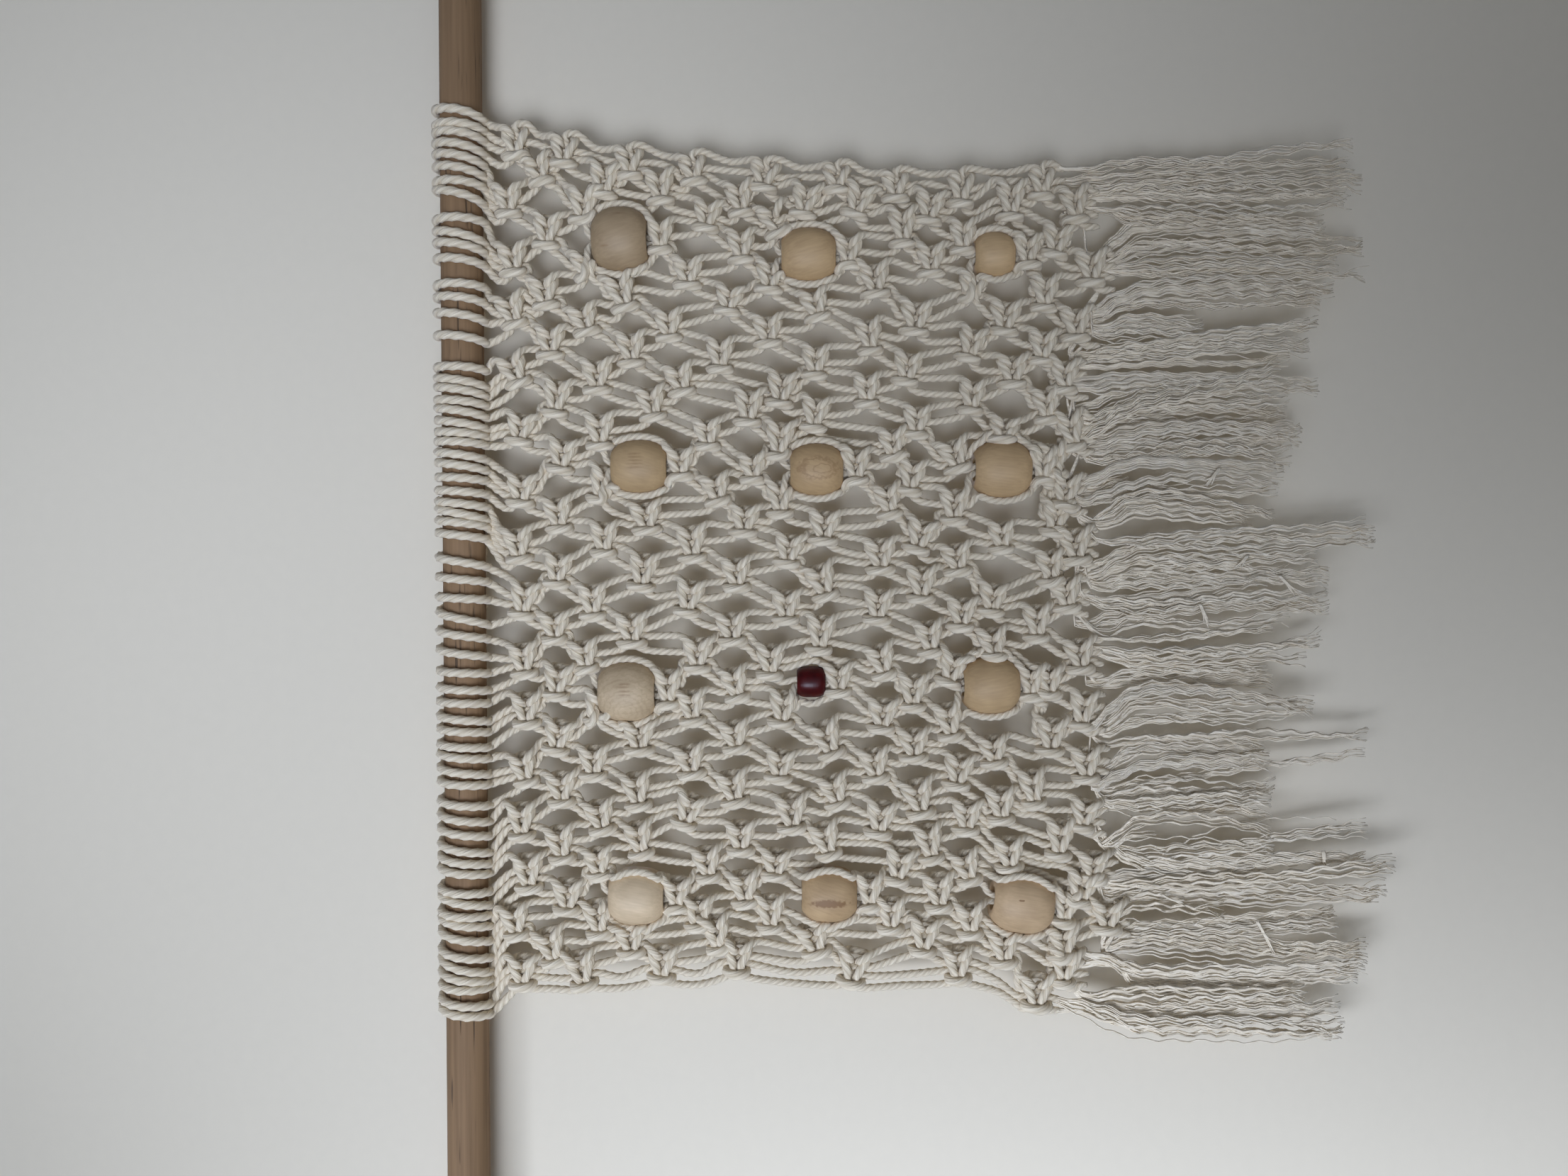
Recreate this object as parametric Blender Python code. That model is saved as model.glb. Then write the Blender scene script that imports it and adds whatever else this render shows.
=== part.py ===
"""A macrame wall hanging on a wooden rod.

Thirty-two cords are folded over the rod, so sixty-four wraps cross its front. Below it they are
tied in alternating rows of square knots, with a wooden bead above some of the knots, and under
the last row the cords are combed out into a fringe.

The origin is on the rod's axis, at the middle of the cloth. +X runs along the rod to the right,
+Z is up, and -Y is the front. Lengths in the tables are millimetres, and "drop" is how far a
thing lies below the rod's axis. The open net is drawn at twice the pitch of the real one.
"""

import math

import bmesh
import bpy
from mathutils import Matrix, Vector

MM = 0.001
CLEARANCE = 0.3 * MM          # between neighbouring pieces

ROD_RADIUS = 8 * MM
ROD_LENGTH = 500 * MM
ROD_SIDES = 24

CLOTH_Y = -1.5 * MM           # the cloth's middle plane, a little in front of the rod's axis
STRAND = 2.4 * MM             # a strand's width where a knot pulls its cord tight
STRAND_GAP = 0.5 * MM         # between the strands that enter a knot

# Each group of four wraps on the rod: its middle and the step between its wraps.
WRAP_GROUPS = (
    # middle, step
    (-158.2, 4.3), (-140.0, 5.0), (-121.3, 5.1), (-101.6, 5.2), (-79.1, 5.8), (-59.1, 5.3),
    (-36.4, 6.6), (-9.6, 6.9), (16.1, 3.9), (33.0, 4.5), (49.5, 3.8), (65.1, 4.1),
    (92.9, 6.4), (118.1, 5.0), (141.5, 4.6), (158.5, 4.1),
)
WRAPS_IN_GROUP = 4
GROUPS_IN_HEADING = 2
WRAP_WIDTH = 2.9 * MM
WRAP_THICKNESS = 2.3 * MM
WRAP_START = -48              # degrees above the front of the rod
WRAP_STEP = 36
WRAP_STEPS = 7
FOLD_Y = 7.4 * MM             # the fold of each cord, low behind the rod
FOLD_DROP = 9.0 * MM

# The outermost knots' places, left and right, as the cloth hangs.
EDGES = (
    # drop, left, right
    (20, -151, 152), (48, -148, 149), (82, -146, 145), (115, -146, 143),
    (152, -147, 140), (181, -149, 138), (213, -156, 137),
)
COLUMN_BOW = 3.5 * MM         # how far the middle columns stand to the left of an even spacing
HEADING_DROP = 27 * MM
# Rows of the open net under the heading: how far each hangs, and its knots.
ROWS = (
    # drop, knots
    (61.4, 7), (98.3, 8), (130.5, 7), (166.7, 8), (195.6, 7),
)
WIDE_ROW = 8
FIRST_OF_WIDE = 1 / 30        # where a row's outermost knot lies between the edges
FIRST_OF_NARROW = 1 / 10

# Each bead sits above the knot of the same place in a narrow row, counted from the left.
BEADS = (
    # row, knot, x, drop, diameter, length, lean in degrees
    (0, 0, -120.7, 62.4, 20.4, 19.9, 0), (0, 2, -46.3, 59.5, 22.0, 20.4, 0),
    (0, 4, 35.3, 64.5, 19.8, 20.1, 0), (0, 6, 117.6, 58.2, 23.6, 19.8, 0),
    (2, 0, -120.5, 132.1, 20.4, 19.6, 0), (2, 2, -43.3, 126.2, 11.4, 10.3, 0),
    (2, 4, 33.7, 128.7, 19.6, 19.1, 0), (2, 6, 111.6, 126.4, 20.2, 19.6, 0),
    (4, 0, -124.1, 202.0, 20.8, 20.4, 9), (4, 2, -45.0, 191.2, 21.0, 20.1, 0),
    (4, 4, 33.3, 196.0, 21.2, 20.4, 0), (4, 6, 111.1, 193.8, 16.8, 14.5, 0),
)
RED_BEAD = (2, 2)
BEAD_SIDES = 12
BEAD_RINGS = (-1, -0.8, -0.35, 0.35, 0.8, 1)
BEAD_ROUNDNESS = 2.4          # exponent of the bead's profile: 2 is a ball, more is squarer
BEAD_REACH = 0.56             # where the profile would close, as a share of the bead's length
BORE_SHARE = 0.2              # the bore's radius, as a share of the bead's diameter
BEAD_TO_KNOT = 3.4 * MM       # from a bead to the top of the knot that holds it

KNOT_STRANDS = 4
KNOT_HALF_HEIGHT = 4.0 * MM
KNOT_MARGIN = 0.5 * MM
HEADING_STRAND = 2.1 * MM
# The knot's outline from the side, from its top edge down its face to its bottom edge.
KNOT_FACE = (
    # share of the half height, depth, one edge for every strand
    (1.0, 1.3, True), (0.5, 3.1, False), (0.0, 2.0, False), (-0.5, 3.1, False), (-1.0, 1.3, True),
)
PAIR_BOW = 1.9 * MM           # half the distance between the two strands of a pair, at mid-span
EDGE_STOPS = (0.25, 0.5, 0.75)

# The strip that ends the net, standing for its last row of knots.
STRIP = (
    # x, drop
    (-158, 229), (-146, 231.5), (-124, 232.5), (-105, 230), (-70, 227), (-27, 226),
    (15, 224.5), (35, 224), (60, 224), (85, 225.5), (105, 229), (125, 225), (144, 221),
)
STRIP_HALF_HEIGHT = 2.4 * MM
STRIP_EDGE_DEPTH = 1.5 * MM
STRIP_DEPTHS = (1.9 * MM, 3.0 * MM)   # between and at the knots that it stands for
STRIP_KNOTS = 15
STRIP_REACH = 6 * MM          # how far aside the strip is looked at, to keep a strand off it

# The combed-out cords from left to right: where each one's tips hang.
TIPS = (
    # x, drop
    (-166.7, 321), (-155.1, 310), (-146.0, 330), (-139.6, 319), (-130.5, 320), (-120.7, 336),
    (-111.2, 340), (-99.6, 330), (-93.1, 296), (-84.1, 296), (-73.3, 296), (-63.5, 332),
    (-51.9, 311), (-41.5, 295), (-29.4, 314), (-22.2, 296), (-13.9, 316), (-5.4, 315),
    (2.3, 312), (11.4, 334), (18.6, 296), (25.5, 299), (37.2, 303), (48.0, 307), (56.5, 302),
    (64.2, 312), (70.7, 300), (79.7, 310), (90.0, 313), (98.6, 316), (105.5, 330), (114.6, 329),
    (127.5, 313), (137.3, 324), (149.4, 327),
)
FRINGE_STRANDS = 96
ROOT_SHARE = 0.62             # of the root's triangle that its strand takes up
FRINGE_RADIUS = 1.35 * MM
FRINGE_TAPER = 0.45           # of the radius that is gone at the tip
FRINGE_SPREAD = 0.07          # how far the fringe flares sideways, as a share of x
FRINGE_WAVE = 1.6 * MM
FRINGE_WAVE_LENGTH = 150 * MM
FRINGE_RAGGED = 2.5 * MM
FRINGE_STOPS = (0.16, 0.55, 1.0)   # where a strand is drawn, as shares of its length


def make_material(name, colour, roughness):
    """A Principled material with a plain colour."""
    material = bpy.data.materials.new(name)
    material.use_nodes = True
    shader = material.node_tree.nodes["Principled BSDF"]
    shader.inputs["Base Color"].default_value = (*colour, 1)
    shader.inputs["Roughness"].default_value = roughness
    return material


def read_table(rows, place):
    """The other columns of a table at a place along its first one, in straight lines."""
    for low, high in zip(rows, rows[1:]):
        if place <= high[0]:
            break
    share = min(max((place - low[0]) / (high[0] - low[0]), 0), 1)
    return [(a + (b - a) * share) * MM for a, b in zip(low[1:], high[1:])]


def row_places(drop, count):
    """The x of each knot of a row, from left to right."""
    left, right = read_table(EDGES, drop / MM)
    first = FIRST_OF_WIDE if count == WIDE_ROW else FIRST_OF_NARROW
    places = []
    for i in range(count):
        share = first + (1 - 2 * first) * i / (count - 1)
        places.append(left + (right - left) * share - COLUMN_BOW * math.sin(math.pi * share))
    return places


def ring(mesh, centre, across, inward):
    """Four corners of a strand's section, in the order in which a knot's slot holds them."""
    corners = (-across - inward, across - inward, across + inward, inward - across)
    return [mesh.verts.new(centre + corner) for corner in corners]


def skin(mesh, rings):
    """The faces between rings of the same number of corners, each to the next."""
    for upper, lower in zip(rings, rings[1:]):
        for i, corner in enumerate(upper):
            follower = (i + 1) % len(upper)
            mesh.faces.new((corner, upper[follower], lower[follower], lower[i]))


def stitch(mesh, upper, lower):
    """Triangles between two lines of vertices that run along +X but differ in number."""
    i = j = 0
    while i < len(upper) - 1 or j < len(lower) - 1:
        at_end = j == len(lower) - 1
        if at_end or (i < len(upper) - 1 and upper[i + 1].co.x <= lower[j + 1].co.x):
            mesh.faces.new((upper[i], upper[i + 1], lower[j]))
            i += 1
        else:
            mesh.faces.new((upper[i], lower[j + 1], lower[j]))
            j += 1


def make_object(name, mesh, material):
    """Turn the bmesh into an object whose faces point outwards."""
    bmesh.ops.recalc_face_normals(mesh, faces=mesh.faces)
    data = bpy.data.meshes.new(name)
    mesh.to_mesh(data)
    mesh.free()
    data.materials.append(material)
    body = bpy.data.objects.new(name, data)
    bpy.context.collection.objects.link(body)
    return body


def middle(slot):
    """The centre of a slot or of a ring."""
    return sum((corner.co for corner in slot), Vector()) / len(slot)


def make_rod(material):
    """The plain wooden rod, cut square at both ends."""
    mesh = bmesh.new()
    along_x = Matrix.Rotation(math.pi / 2, 4, "Y")
    bmesh.ops.create_cone(mesh, cap_ends=True, segments=ROD_SIDES, radius1=ROD_RADIUS,
                          radius2=ROD_RADIUS, depth=ROD_LENGTH, matrix=along_x)
    return make_object("rod", mesh, material)


def slot_edges(count, width):
    """The x of both edges of each slot in a row of slots, around zero."""
    pitch = width + STRAND_GAP
    start = -(count * pitch - STRAND_GAP) / 2
    return [start + i * pitch + side for i in range(count) for side in (0, width)]


def slots_of(front, back):
    """The rings between a knot's two edge lines, one for each strand."""
    return [[front[i], front[i + 1], back[i + 1], back[i]] for i in range(1, len(front) - 1, 2)]


def make_knot(mesh, centre, top_edges, bottom_edges):
    """A knot with two ridged bars, open at its slots. Gives its top and its bottom slots."""
    half = max(top_edges[-1], bottom_edges[-1]) + KNOT_MARGIN
    faces = []
    for side in (-1, 1):
        lines = []
        for share, depth, stranded in KNOT_FACE:
            edges = [-half, 0, half]
            if stranded:
                edges = [-half, *(top_edges if share > 0 else bottom_edges), half]
            height = share * KNOT_HALF_HEIGHT
            lines.append([mesh.verts.new(centre + Vector((x, side * depth * MM, height)))
                          for x in edges])
        for upper, lower in zip(lines, lines[1:]):
            stitch(mesh, upper, lower)
        faces.append(lines)
    for row in (0, -1):
        front, back = faces[0][row], faces[1][row]
        for i in range(0, len(front), 2):
            mesh.faces.new((front[i], front[i + 1], back[i + 1], back[i]))
    for end in (0, -1):
        outline = [line[end] for line in faces[0]] + [line[end] for line in reversed(faces[1])]
        mesh.faces.new(outline)
    return slots_of(faces[0][0], faces[1][0]), slots_of(faces[0][-1], faces[1][-1])


def strand(mesh, upper, points, lower=None, width=STRAND):
    """A strand from a slot, down through points in the cloth's plane, to a slot.

    With no lower slot it ends at its last point, closed and level.
    """
    stops = [middle(upper), *points]
    if lower:
        stops.append(middle(lower))
    rings = [upper]
    for i in range(1, len(points) + 1):
        way = stops[i + 1] - stops[i - 1] if i + 1 < len(stops) else Vector((0, 0, -1))
        across = Vector((-way.z, 0, way.x)).normalized() * width / 2
        rings.append(ring(mesh, stops[i], across, Vector((0, width / 2, 0))))
    if lower:
        rings.append(lower)
    else:
        mesh.faces.new(rings[-1])
    skin(mesh, rings)


def wrap_reach():
    """How far from the rod's axis the middle of a wrap runs, so that its flats clear the rod."""
    flat = (ROD_RADIUS + CLEARANCE) / math.cos(math.radians(WRAP_STEP / 2))
    return flat + WRAP_THICKNESS / 2


def wrap_rings(mesh, x, side):
    """One wrap's rings from the rod's lower front, over its top, to its lower back."""
    rings = []
    for i in range(WRAP_STEPS + 1):
        angle = math.radians(WRAP_START + i * WRAP_STEP)
        outward = Vector((0, -math.cos(angle), math.sin(angle)))
        across = Vector((side * WRAP_WIDTH / 2, 0, 0))
        centre = Vector((x, 0, 0)) + outward * wrap_reach()
        rings.append(ring(mesh, centre, across, -outward * WRAP_THICKNESS / 2))
    return rings


def wrap_cord(mesh, wraps, slots):
    """One cord folded over the rod: its two wraps and the fold behind it, from slot to slot."""
    half = WRAP_THICKNESS / 2
    rings = [slots[0], *wrap_rings(mesh, wraps[0], 1)]
    for x, lean in zip(wraps, (1, -1)):
        corner = Vector((lean * half, 0, half))
        rings.append(ring(mesh, Vector((x, FOLD_Y, -FOLD_DROP)), corner, Vector((0, -half, 0))))
    rings += reversed(wrap_rings(mesh, wraps[1], -1))
    # The second wrap comes down mirrored, so its slot is read the other way round.
    rings.append([slots[1][i] for i in (1, 0, 3, 2)])
    skin(mesh, rings)


def make_heading(number, material):
    """Eight wraps on the rod, gathered in one wide knot that the net hangs under."""
    first = GROUPS_IN_HEADING * number
    wraps = [(centre + step * (i - (WRAPS_IN_GROUP - 1) / 2)) * MM
             for centre, step in WRAP_GROUPS[first:first + GROUPS_IN_HEADING]
             for i in range(WRAPS_IN_GROUP)]
    mesh = bmesh.new()
    centre = Vector((row_places(HEADING_DROP, WIDE_ROW)[number], CLOTH_Y, -HEADING_DROP))
    top, bottom = make_knot(mesh, centre, slot_edges(len(wraps), HEADING_STRAND),
                            slot_edges(KNOT_STRANDS, STRAND))
    for slot in bottom:
        mesh.faces.new(slot)
    for i in range(0, len(wraps), 2):
        wrap_cord(mesh, wraps[i:i + 2], top[i:i + 2])
    return make_object(f"heading_{number + 1}", mesh, material)


def bead_place(bead):
    """A bead's middle, its size and the turn that leans it."""
    x, drop, diameter, length, lean = bead[2:]
    turn = Matrix.Rotation(math.radians(lean), 3, "Y")
    return Vector((x * MM, CLOTH_Y, -drop * MM)), diameter * MM, length * MM, turn


def bead_radius(diameter, length, height):
    """The bead's outer radius at a height above or below its middle."""
    share = abs(height) / (BEAD_REACH * length)
    return diameter / 2 * (1 - share ** BEAD_ROUNDNESS) ** (1 / BEAD_ROUNDNESS)


def make_bead(bead, material):
    """A drilled bead: its profile turned about its bore."""
    place, diameter, length, turn = bead_place(bead)
    bore = BORE_SHARE * diameter
    heights = [length / 2 * share for share in BEAD_RINGS]
    outline = [(bore, heights[0])]
    outline += [(bead_radius(diameter, length, height), height) for height in heights]
    outline += [(bore, heights[-1])]
    mesh = bmesh.new()
    lines = []
    for i in range(BEAD_SIDES):
        angle = 2 * math.pi * i / BEAD_SIDES
        points = [Vector((r * math.cos(angle), r * math.sin(angle), z)) for r, z in outline]
        lines.append([mesh.verts.new(place + turn @ point) for point in points])
    skin(mesh, lines + lines[:1])
    return make_object(f"bead_{bead[0] // 2 + 1}_{bead[1] // 2 + 1}", mesh, material)


def tie_pair(mesh, uppers, lowers):
    """Two strands side by side from one knot to the next, bowed apart at mid-span."""
    ends = [middle(slot) for slot in (*uppers, *lowers)]
    way = ends[2] + ends[3] - ends[0] - ends[1]
    across = Vector((-way.z, 0, way.x)).normalized() * PAIR_BOW
    centre = sum(ends, Vector()) / len(ends)
    for upper, lower, side in zip(uppers, lowers, (-1, 1)):
        strand(mesh, upper, [centre + side * across], lower)


def tie_edge(mesh, uppers, lowers, side):
    """The two strands that skip a row at the cloth's left or right edge."""
    tops, bottoms = [middle(slot) for slot in uppers], [middle(slot) for slot in lowers]
    drop_top, drop_bottom = -tops[0].z, -bottoms[0].z
    for i, (upper, lower) in enumerate(zip(uppers, lowers)):
        points = []
        for share in EDGE_STOPS:
            drop = drop_top + (drop_bottom - drop_top) * share
            edge = read_table(EDGES, drop / MM)[0 if side < 0 else 1]
            bow = PAIR_BOW * (1 if i else -1)
            points.append(Vector((edge + bow + side * PAIR_BOW, CLOTH_Y, -drop)))
        strand(mesh, upper, points, lower)


def tie_bead(mesh, bead, uppers, lowers):
    """Four strands at a bead: the inner two go through its bore and the outer two around it."""
    place, diameter, length, turn = bead_place(bead)
    radius, half = diameter / 2, length / 2
    width = min(STRAND, BORE_SHARE * diameter * 0.6)
    inner = width / 2 + CLEARANCE / 2
    outside = STRAND / 2 + CLEARANCE * 2
    for i, side in ((0, -1), (3, 1)):
        points = [(radius + outside, 0), (0.86 * radius + outside, -0.8 * half)]
        points = [place + Vector((side * x, 0, z)) for x, z in points]
        strand(mesh, uppers[i], points, lowers[i])
    for i, side in ((1, -1), (2, 1)):
        points = [(side * inner, half + 4 * CLEARANCE), (side * inner, -half - 2 * CLEARANCE)]
        points = [place + turn @ Vector((x, 0, z)) for x, z in points]
        strand(mesh, uppers[i], points, lowers[i], width)


def make_net(material):
    """The whole net as one body: strands tied in rows of knots, from the heading to the strip."""
    mesh = bmesh.new()
    edges = slot_edges(KNOT_STRANDS, STRAND)
    top_z = -HEADING_DROP - KNOT_HALF_HEIGHT - CLEARANCE
    depth = Vector((0, KNOT_FACE[0][1] * MM, 0))
    wide = []
    for x in row_places(HEADING_DROP, WIDE_ROW):
        slots = []
        for left in edges[::2]:
            across = Vector((STRAND / 2, 0, 0))
            slots.append(ring(mesh, Vector((x + left, CLOTH_Y, top_z)) + across, across, depth))
            mesh.faces.new(slots[-1])
        wide.append(slots)
    narrow = []
    beads = {bead[:2]: bead for bead in BEADS}
    for row, (row_drop, count) in enumerate(ROWS):
        knots = []
        for k, x in enumerate(row_places(row_drop * MM, count)):
            centre = Vector((x, CLOTH_Y, -row_drop * MM))
            bead = beads.get((row, k))
            if bead:
                place, _, length, turn = bead_place(bead)
                below = Vector((0, 0, -length / 2 - BEAD_TO_KNOT - KNOT_HALF_HEIGHT))
                centre = place + turn @ below
            top, bottom = make_knot(mesh, centre, edges, edges)
            knots.append(bottom)
            if bead:
                tie_bead(mesh, bead, wide[k][2:] + wide[k + 1][:2], top)
            elif count == WIDE_ROW and k == 0:
                tie_edge(mesh, wide[0][:2], top[:2], -1)
                tie_pair(mesh, narrow[0][:2], top[2:])
            elif count == WIDE_ROW and k == WIDE_ROW - 1:
                tie_pair(mesh, narrow[-1][2:], top[:2])
                tie_edge(mesh, wide[-1][2:], top[2:], 1)
            else:
                left, right = (narrow[k - 1], narrow[k]) if count == WIDE_ROW else wide[k:k + 2]
                tie_pair(mesh, left[2:], top[:2])
                tie_pair(mesh, right[:2], top[2:])
        if count == WIDE_ROW:
            wide = knots
        else:
            narrow = knots
    loose = wide[0][:2] + [slot for knot in narrow for slot in knot] + wide[-1][2:]
    left, right = STRIP[0][0] * MM, STRIP[-1][0] * MM
    for i, slot in enumerate(loose):
        x = left + (right - left) * (i + 0.5) / len(loose)
        ground = min(read_table(STRIP, (x + side * STRIP_REACH) / MM)[0] for side in (-1, 0, 1))
        end = Vector((x, CLOTH_Y, -ground + STRIP_HALF_HEIGHT + CLEARANCE))
        strand(mesh, slot, edge_points(slot, end) + [end])
    return make_object("net", mesh, material)


def edge_points(slot, end):
    """Stops for a loose strand that starts two rows up at the cloth's edge, or none."""
    start = middle(slot)
    points = []
    if start.z - end.z > 0.045:
        for share in EDGE_STOPS:
            drop = -(start.z + (end.z - start.z) * share)
            edge = read_table(EDGES, drop / MM)[0 if start.x < 0 else 1]
            points.append(Vector((edge + (start.x - edge) * 0.2, CLOTH_Y, -drop)))
    return points


def fringe_shift(x, share):
    """How far aside a fringe strand stands, at a share of its length."""
    wave = math.sin(2 * math.pi * (x / FRINGE_WAVE_LENGTH + share))
    return x * FRINGE_SPREAD * share + FRINGE_WAVE * wave * share * (1.4 - share)


def tip_drop(x, number):
    """How far the tip of a fringe strand hangs, by the combed-out cord that it belongs to."""
    nearest = min(TIPS, key=lambda tip: abs(tip[0] * MM - x))
    return nearest[1] * MM - FRINGE_RAGGED * (number * 5 % 7) / 7


def fringe_strand(mesh, corners, number):
    """One three-sided strand, from its root's triangle in the strip's underside to its tip."""
    root = middle(corners)
    rings = [corners, [mesh.verts.new(root + (c.co - root) * ROOT_SHARE) for c in corners]]
    turn = 1 if corners[2].co.y > root.y else -1
    length = tip_drop(root.x * (1 + FRINGE_SPREAD), number) + root.z
    for share in FRINGE_STOPS:
        radius = FRINGE_RADIUS * (1 - FRINGE_TAPER * share)
        centre = Vector((root.x + fringe_shift(root.x, share), root.y, root.z - length * share))
        offsets = ((-0.87, -0.5 * turn), (0.87, -0.5 * turn), (0, turn))
        rings.append([mesh.verts.new(centre + Vector((x, y, 0)) * radius) for x, y in offsets])
    skin(mesh, rings)
    mesh.faces.new(rings[-1])


def strip_line(mesh, count, start, share, depths):
    """A line of vertices along the strip, at a share of its half height."""
    left, right = STRIP[0][0] * MM, STRIP[-1][0] * MM
    step = (right - left) / (count - 0.5)
    line = []
    for i in range(count):
        x = left + (i + start) * step
        z = -read_table(STRIP, x / MM)[0] + share * STRIP_HALF_HEIGHT
        line.append(mesh.verts.new((x, CLOTH_Y + depths[i % len(depths)], z)))
    return line


def make_fringe(material):
    """The strip that stands for the last row of knots, with the fringe rooted under it."""
    mesh = bmesh.new()
    pairs = FRINGE_STRANDS // 2
    lines = {}
    for side, start in ((-1, 0), (1, 0.5)):
        knots = 2 * STRIP_KNOTS
        edge = [side * STRIP_EDGE_DEPTH]
        ridge = [side * depth for depth in STRIP_DEPTHS]
        lines[side] = [strip_line(mesh, knots, start, 1, edge),
                       strip_line(mesh, knots, start, 0, ridge),
                       strip_line(mesh, pairs + 1, start, -1, edge)]
        for upper, lower in zip(lines[side], lines[side][1:]):
            stitch(mesh, upper, lower)
    stitch(mesh, lines[-1][0], lines[1][0])
    for end in (0, -1):
        outline = [line[end] for line in lines[-1]] + [line[end] for line in reversed(lines[1])]
        mesh.faces.new(outline)
    front, back = lines[-1][-1], lines[1][-1]
    for i in range(pairs):
        fringe_strand(mesh, [front[i], front[i + 1], back[i]], 2 * i)
        fringe_strand(mesh, [back[i], back[i + 1], front[i + 1]], 2 * i + 1)
    return make_object("fringe", mesh, material)


def main():
    for item in list(bpy.data.objects):
        bpy.data.objects.remove(item, do_unlink=True)
    cotton = make_material("cotton", (0.62, 0.59, 0.55), 0.95)
    rod_wood = make_material("rod_wood", (0.25, 0.17, 0.11), 0.6)
    bead_wood = make_material("bead_wood", (0.55, 0.43, 0.32), 0.55)
    red_gloss = make_material("red_gloss", (0.12, 0.01, 0.01), 0.12)
    make_rod(rod_wood)
    for number in range(len(WRAP_GROUPS) // GROUPS_IN_HEADING):
        make_heading(number, cotton)
    make_net(cotton)
    for bead in BEADS:
        make_bead(bead, red_gloss if bead[:2] == RED_BEAD else bead_wood)
    make_fringe(cotton)


main()
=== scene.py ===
# %% [markdown]
# # A macrame wall hanging
#
# Cotton cords are folded over a wooden rod, knotted into a net with beads in it, and combed
# out at the bottom. The solids from the CAD model come in first. They fix where everything is
# and how big it is, and the finished pieces are then made around them.

# %% Bring in the solids
import math

import bpy
import numpy as np
from mathutils import Matrix, Vector


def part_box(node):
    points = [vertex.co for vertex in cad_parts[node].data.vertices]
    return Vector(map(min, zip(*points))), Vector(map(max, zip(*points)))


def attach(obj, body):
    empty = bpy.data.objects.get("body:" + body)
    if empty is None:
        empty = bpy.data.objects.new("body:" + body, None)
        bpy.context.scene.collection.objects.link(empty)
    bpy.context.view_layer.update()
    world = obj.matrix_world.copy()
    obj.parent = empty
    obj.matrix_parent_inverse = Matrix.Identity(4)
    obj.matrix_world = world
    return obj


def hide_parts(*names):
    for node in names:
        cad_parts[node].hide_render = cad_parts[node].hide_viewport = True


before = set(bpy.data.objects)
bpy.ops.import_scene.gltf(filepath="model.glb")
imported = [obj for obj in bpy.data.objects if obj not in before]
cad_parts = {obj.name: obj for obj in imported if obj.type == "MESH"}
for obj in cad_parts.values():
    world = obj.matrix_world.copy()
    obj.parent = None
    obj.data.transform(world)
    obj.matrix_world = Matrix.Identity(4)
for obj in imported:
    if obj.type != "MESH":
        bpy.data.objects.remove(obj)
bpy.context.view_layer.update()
rng = np.random.default_rng(7)

# %% [markdown]
# ## Sizes
#
# The photograph is turned a quarter turn: its right side is the bottom of the hanging, and its
# lower side is the hanging's left. The places below were read on it in pixels, and one
# function turns them into places on the cloth. The picture could lie behind the model to trace
# over instead, but then nobody could rebuild the model without it. The cord is the ruler: it is
# 2.7 mm thick.

# %% From the photograph to the cloth
MM = 0.001
PIXEL = 0.258 * MM
PHOTO = (2212, 1659)          # the photograph's size in pixels
ROD_PIXEL = 654               # the photograph's x where the rod's axis runs
MIDDLE_PIXEL = 794            # the photograph's y at the middle of the cloth
CLOTH_Y = -1.5 * MM
CORD_RADIUS = 1.34 * MM
ROD_RADIUS = 7.6 * MM
STEP = 0.98 * MM   # between two rings of a cord
LENS, SENSOR = 27.0, 36       # about what a phone's main camera has
DISTANCE = PHOTO[0] * PIXEL * LENS / SENSOR
ROLL = 0.0077                 # the phone was held half a degree off level


def spot(px, py, y=CLOTH_Y):
    """The place at a depth that the photograph shows at one of its pixels."""
    across, down = px - PHOTO[0] / 2, py - PHOTO[1] / 2
    nearer = 1 + (y - CLOTH_Y) / DISTANCE
    px = PHOTO[0] / 2 + (across - ROLL * down) * nearer
    py = PHOTO[1] / 2 + (down + ROLL * across) * nearer
    return np.array([(MIDDLE_PIXEL - py) * PIXEL, y, (ROD_PIXEL - px) * PIXEL])


print(f"a pixel is {PIXEL / MM} mm, and a cord is {2 * CORD_RADIUS / MM:.2f} mm thick")

# %% [markdown]
# ## Camera and light
#
# The camera looks straight at the cloth from close by, as a phone does, and lies on its side.
# The hanging could be turned instead, but the part has to hang as it does in use.
#
# One lamp could light it all, but a room fills its shadows and brightens its corners. So the
# key lamp stands above the cloth and to its left, and every cord throws its blurred shadow down
# and to the right. The side lamp keeps the far corner of the backdrop bright, and the room lamp
# fills the shadows. The back lamp only serves those who walk around the piece.
#
# The key and side lamps weren't placed by eye. A search outside this script varied their places,
# aims and spreads until a plain board was about as bright as the photograph's backdrop at 35
# places. Its result stands here, rounded. Test renders of the board gave their watts and the
# room lamp's. The back lamp, the room lamp's place and the room's own light were set one by one.

# %% The camera, turned a quarter turn
centre = spot(PHOTO[0] / 2, PHOTO[1] / 2)
bpy.ops.object.camera_add(location=centre - np.array([0, DISTANCE, 0]))
camera = bpy.context.object
camera.name = "camera"
camera.data.lens = LENS
camera.data.sensor_width = SENSOR
camera.data.clip_start = 0.01
right = Vector((-ROLL, 0, -1)).normalized()
up = Vector((1, 0, -ROLL)).normalized()
camera.matrix_world = (Matrix.Translation(camera.location)
                       @ Matrix((right, up, right.cross(up))).transposed().to_4x4())
bpy.context.scene.camera = camera
print(f"the camera is {DISTANCE * 1000:.0f} mm from the cloth")

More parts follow.
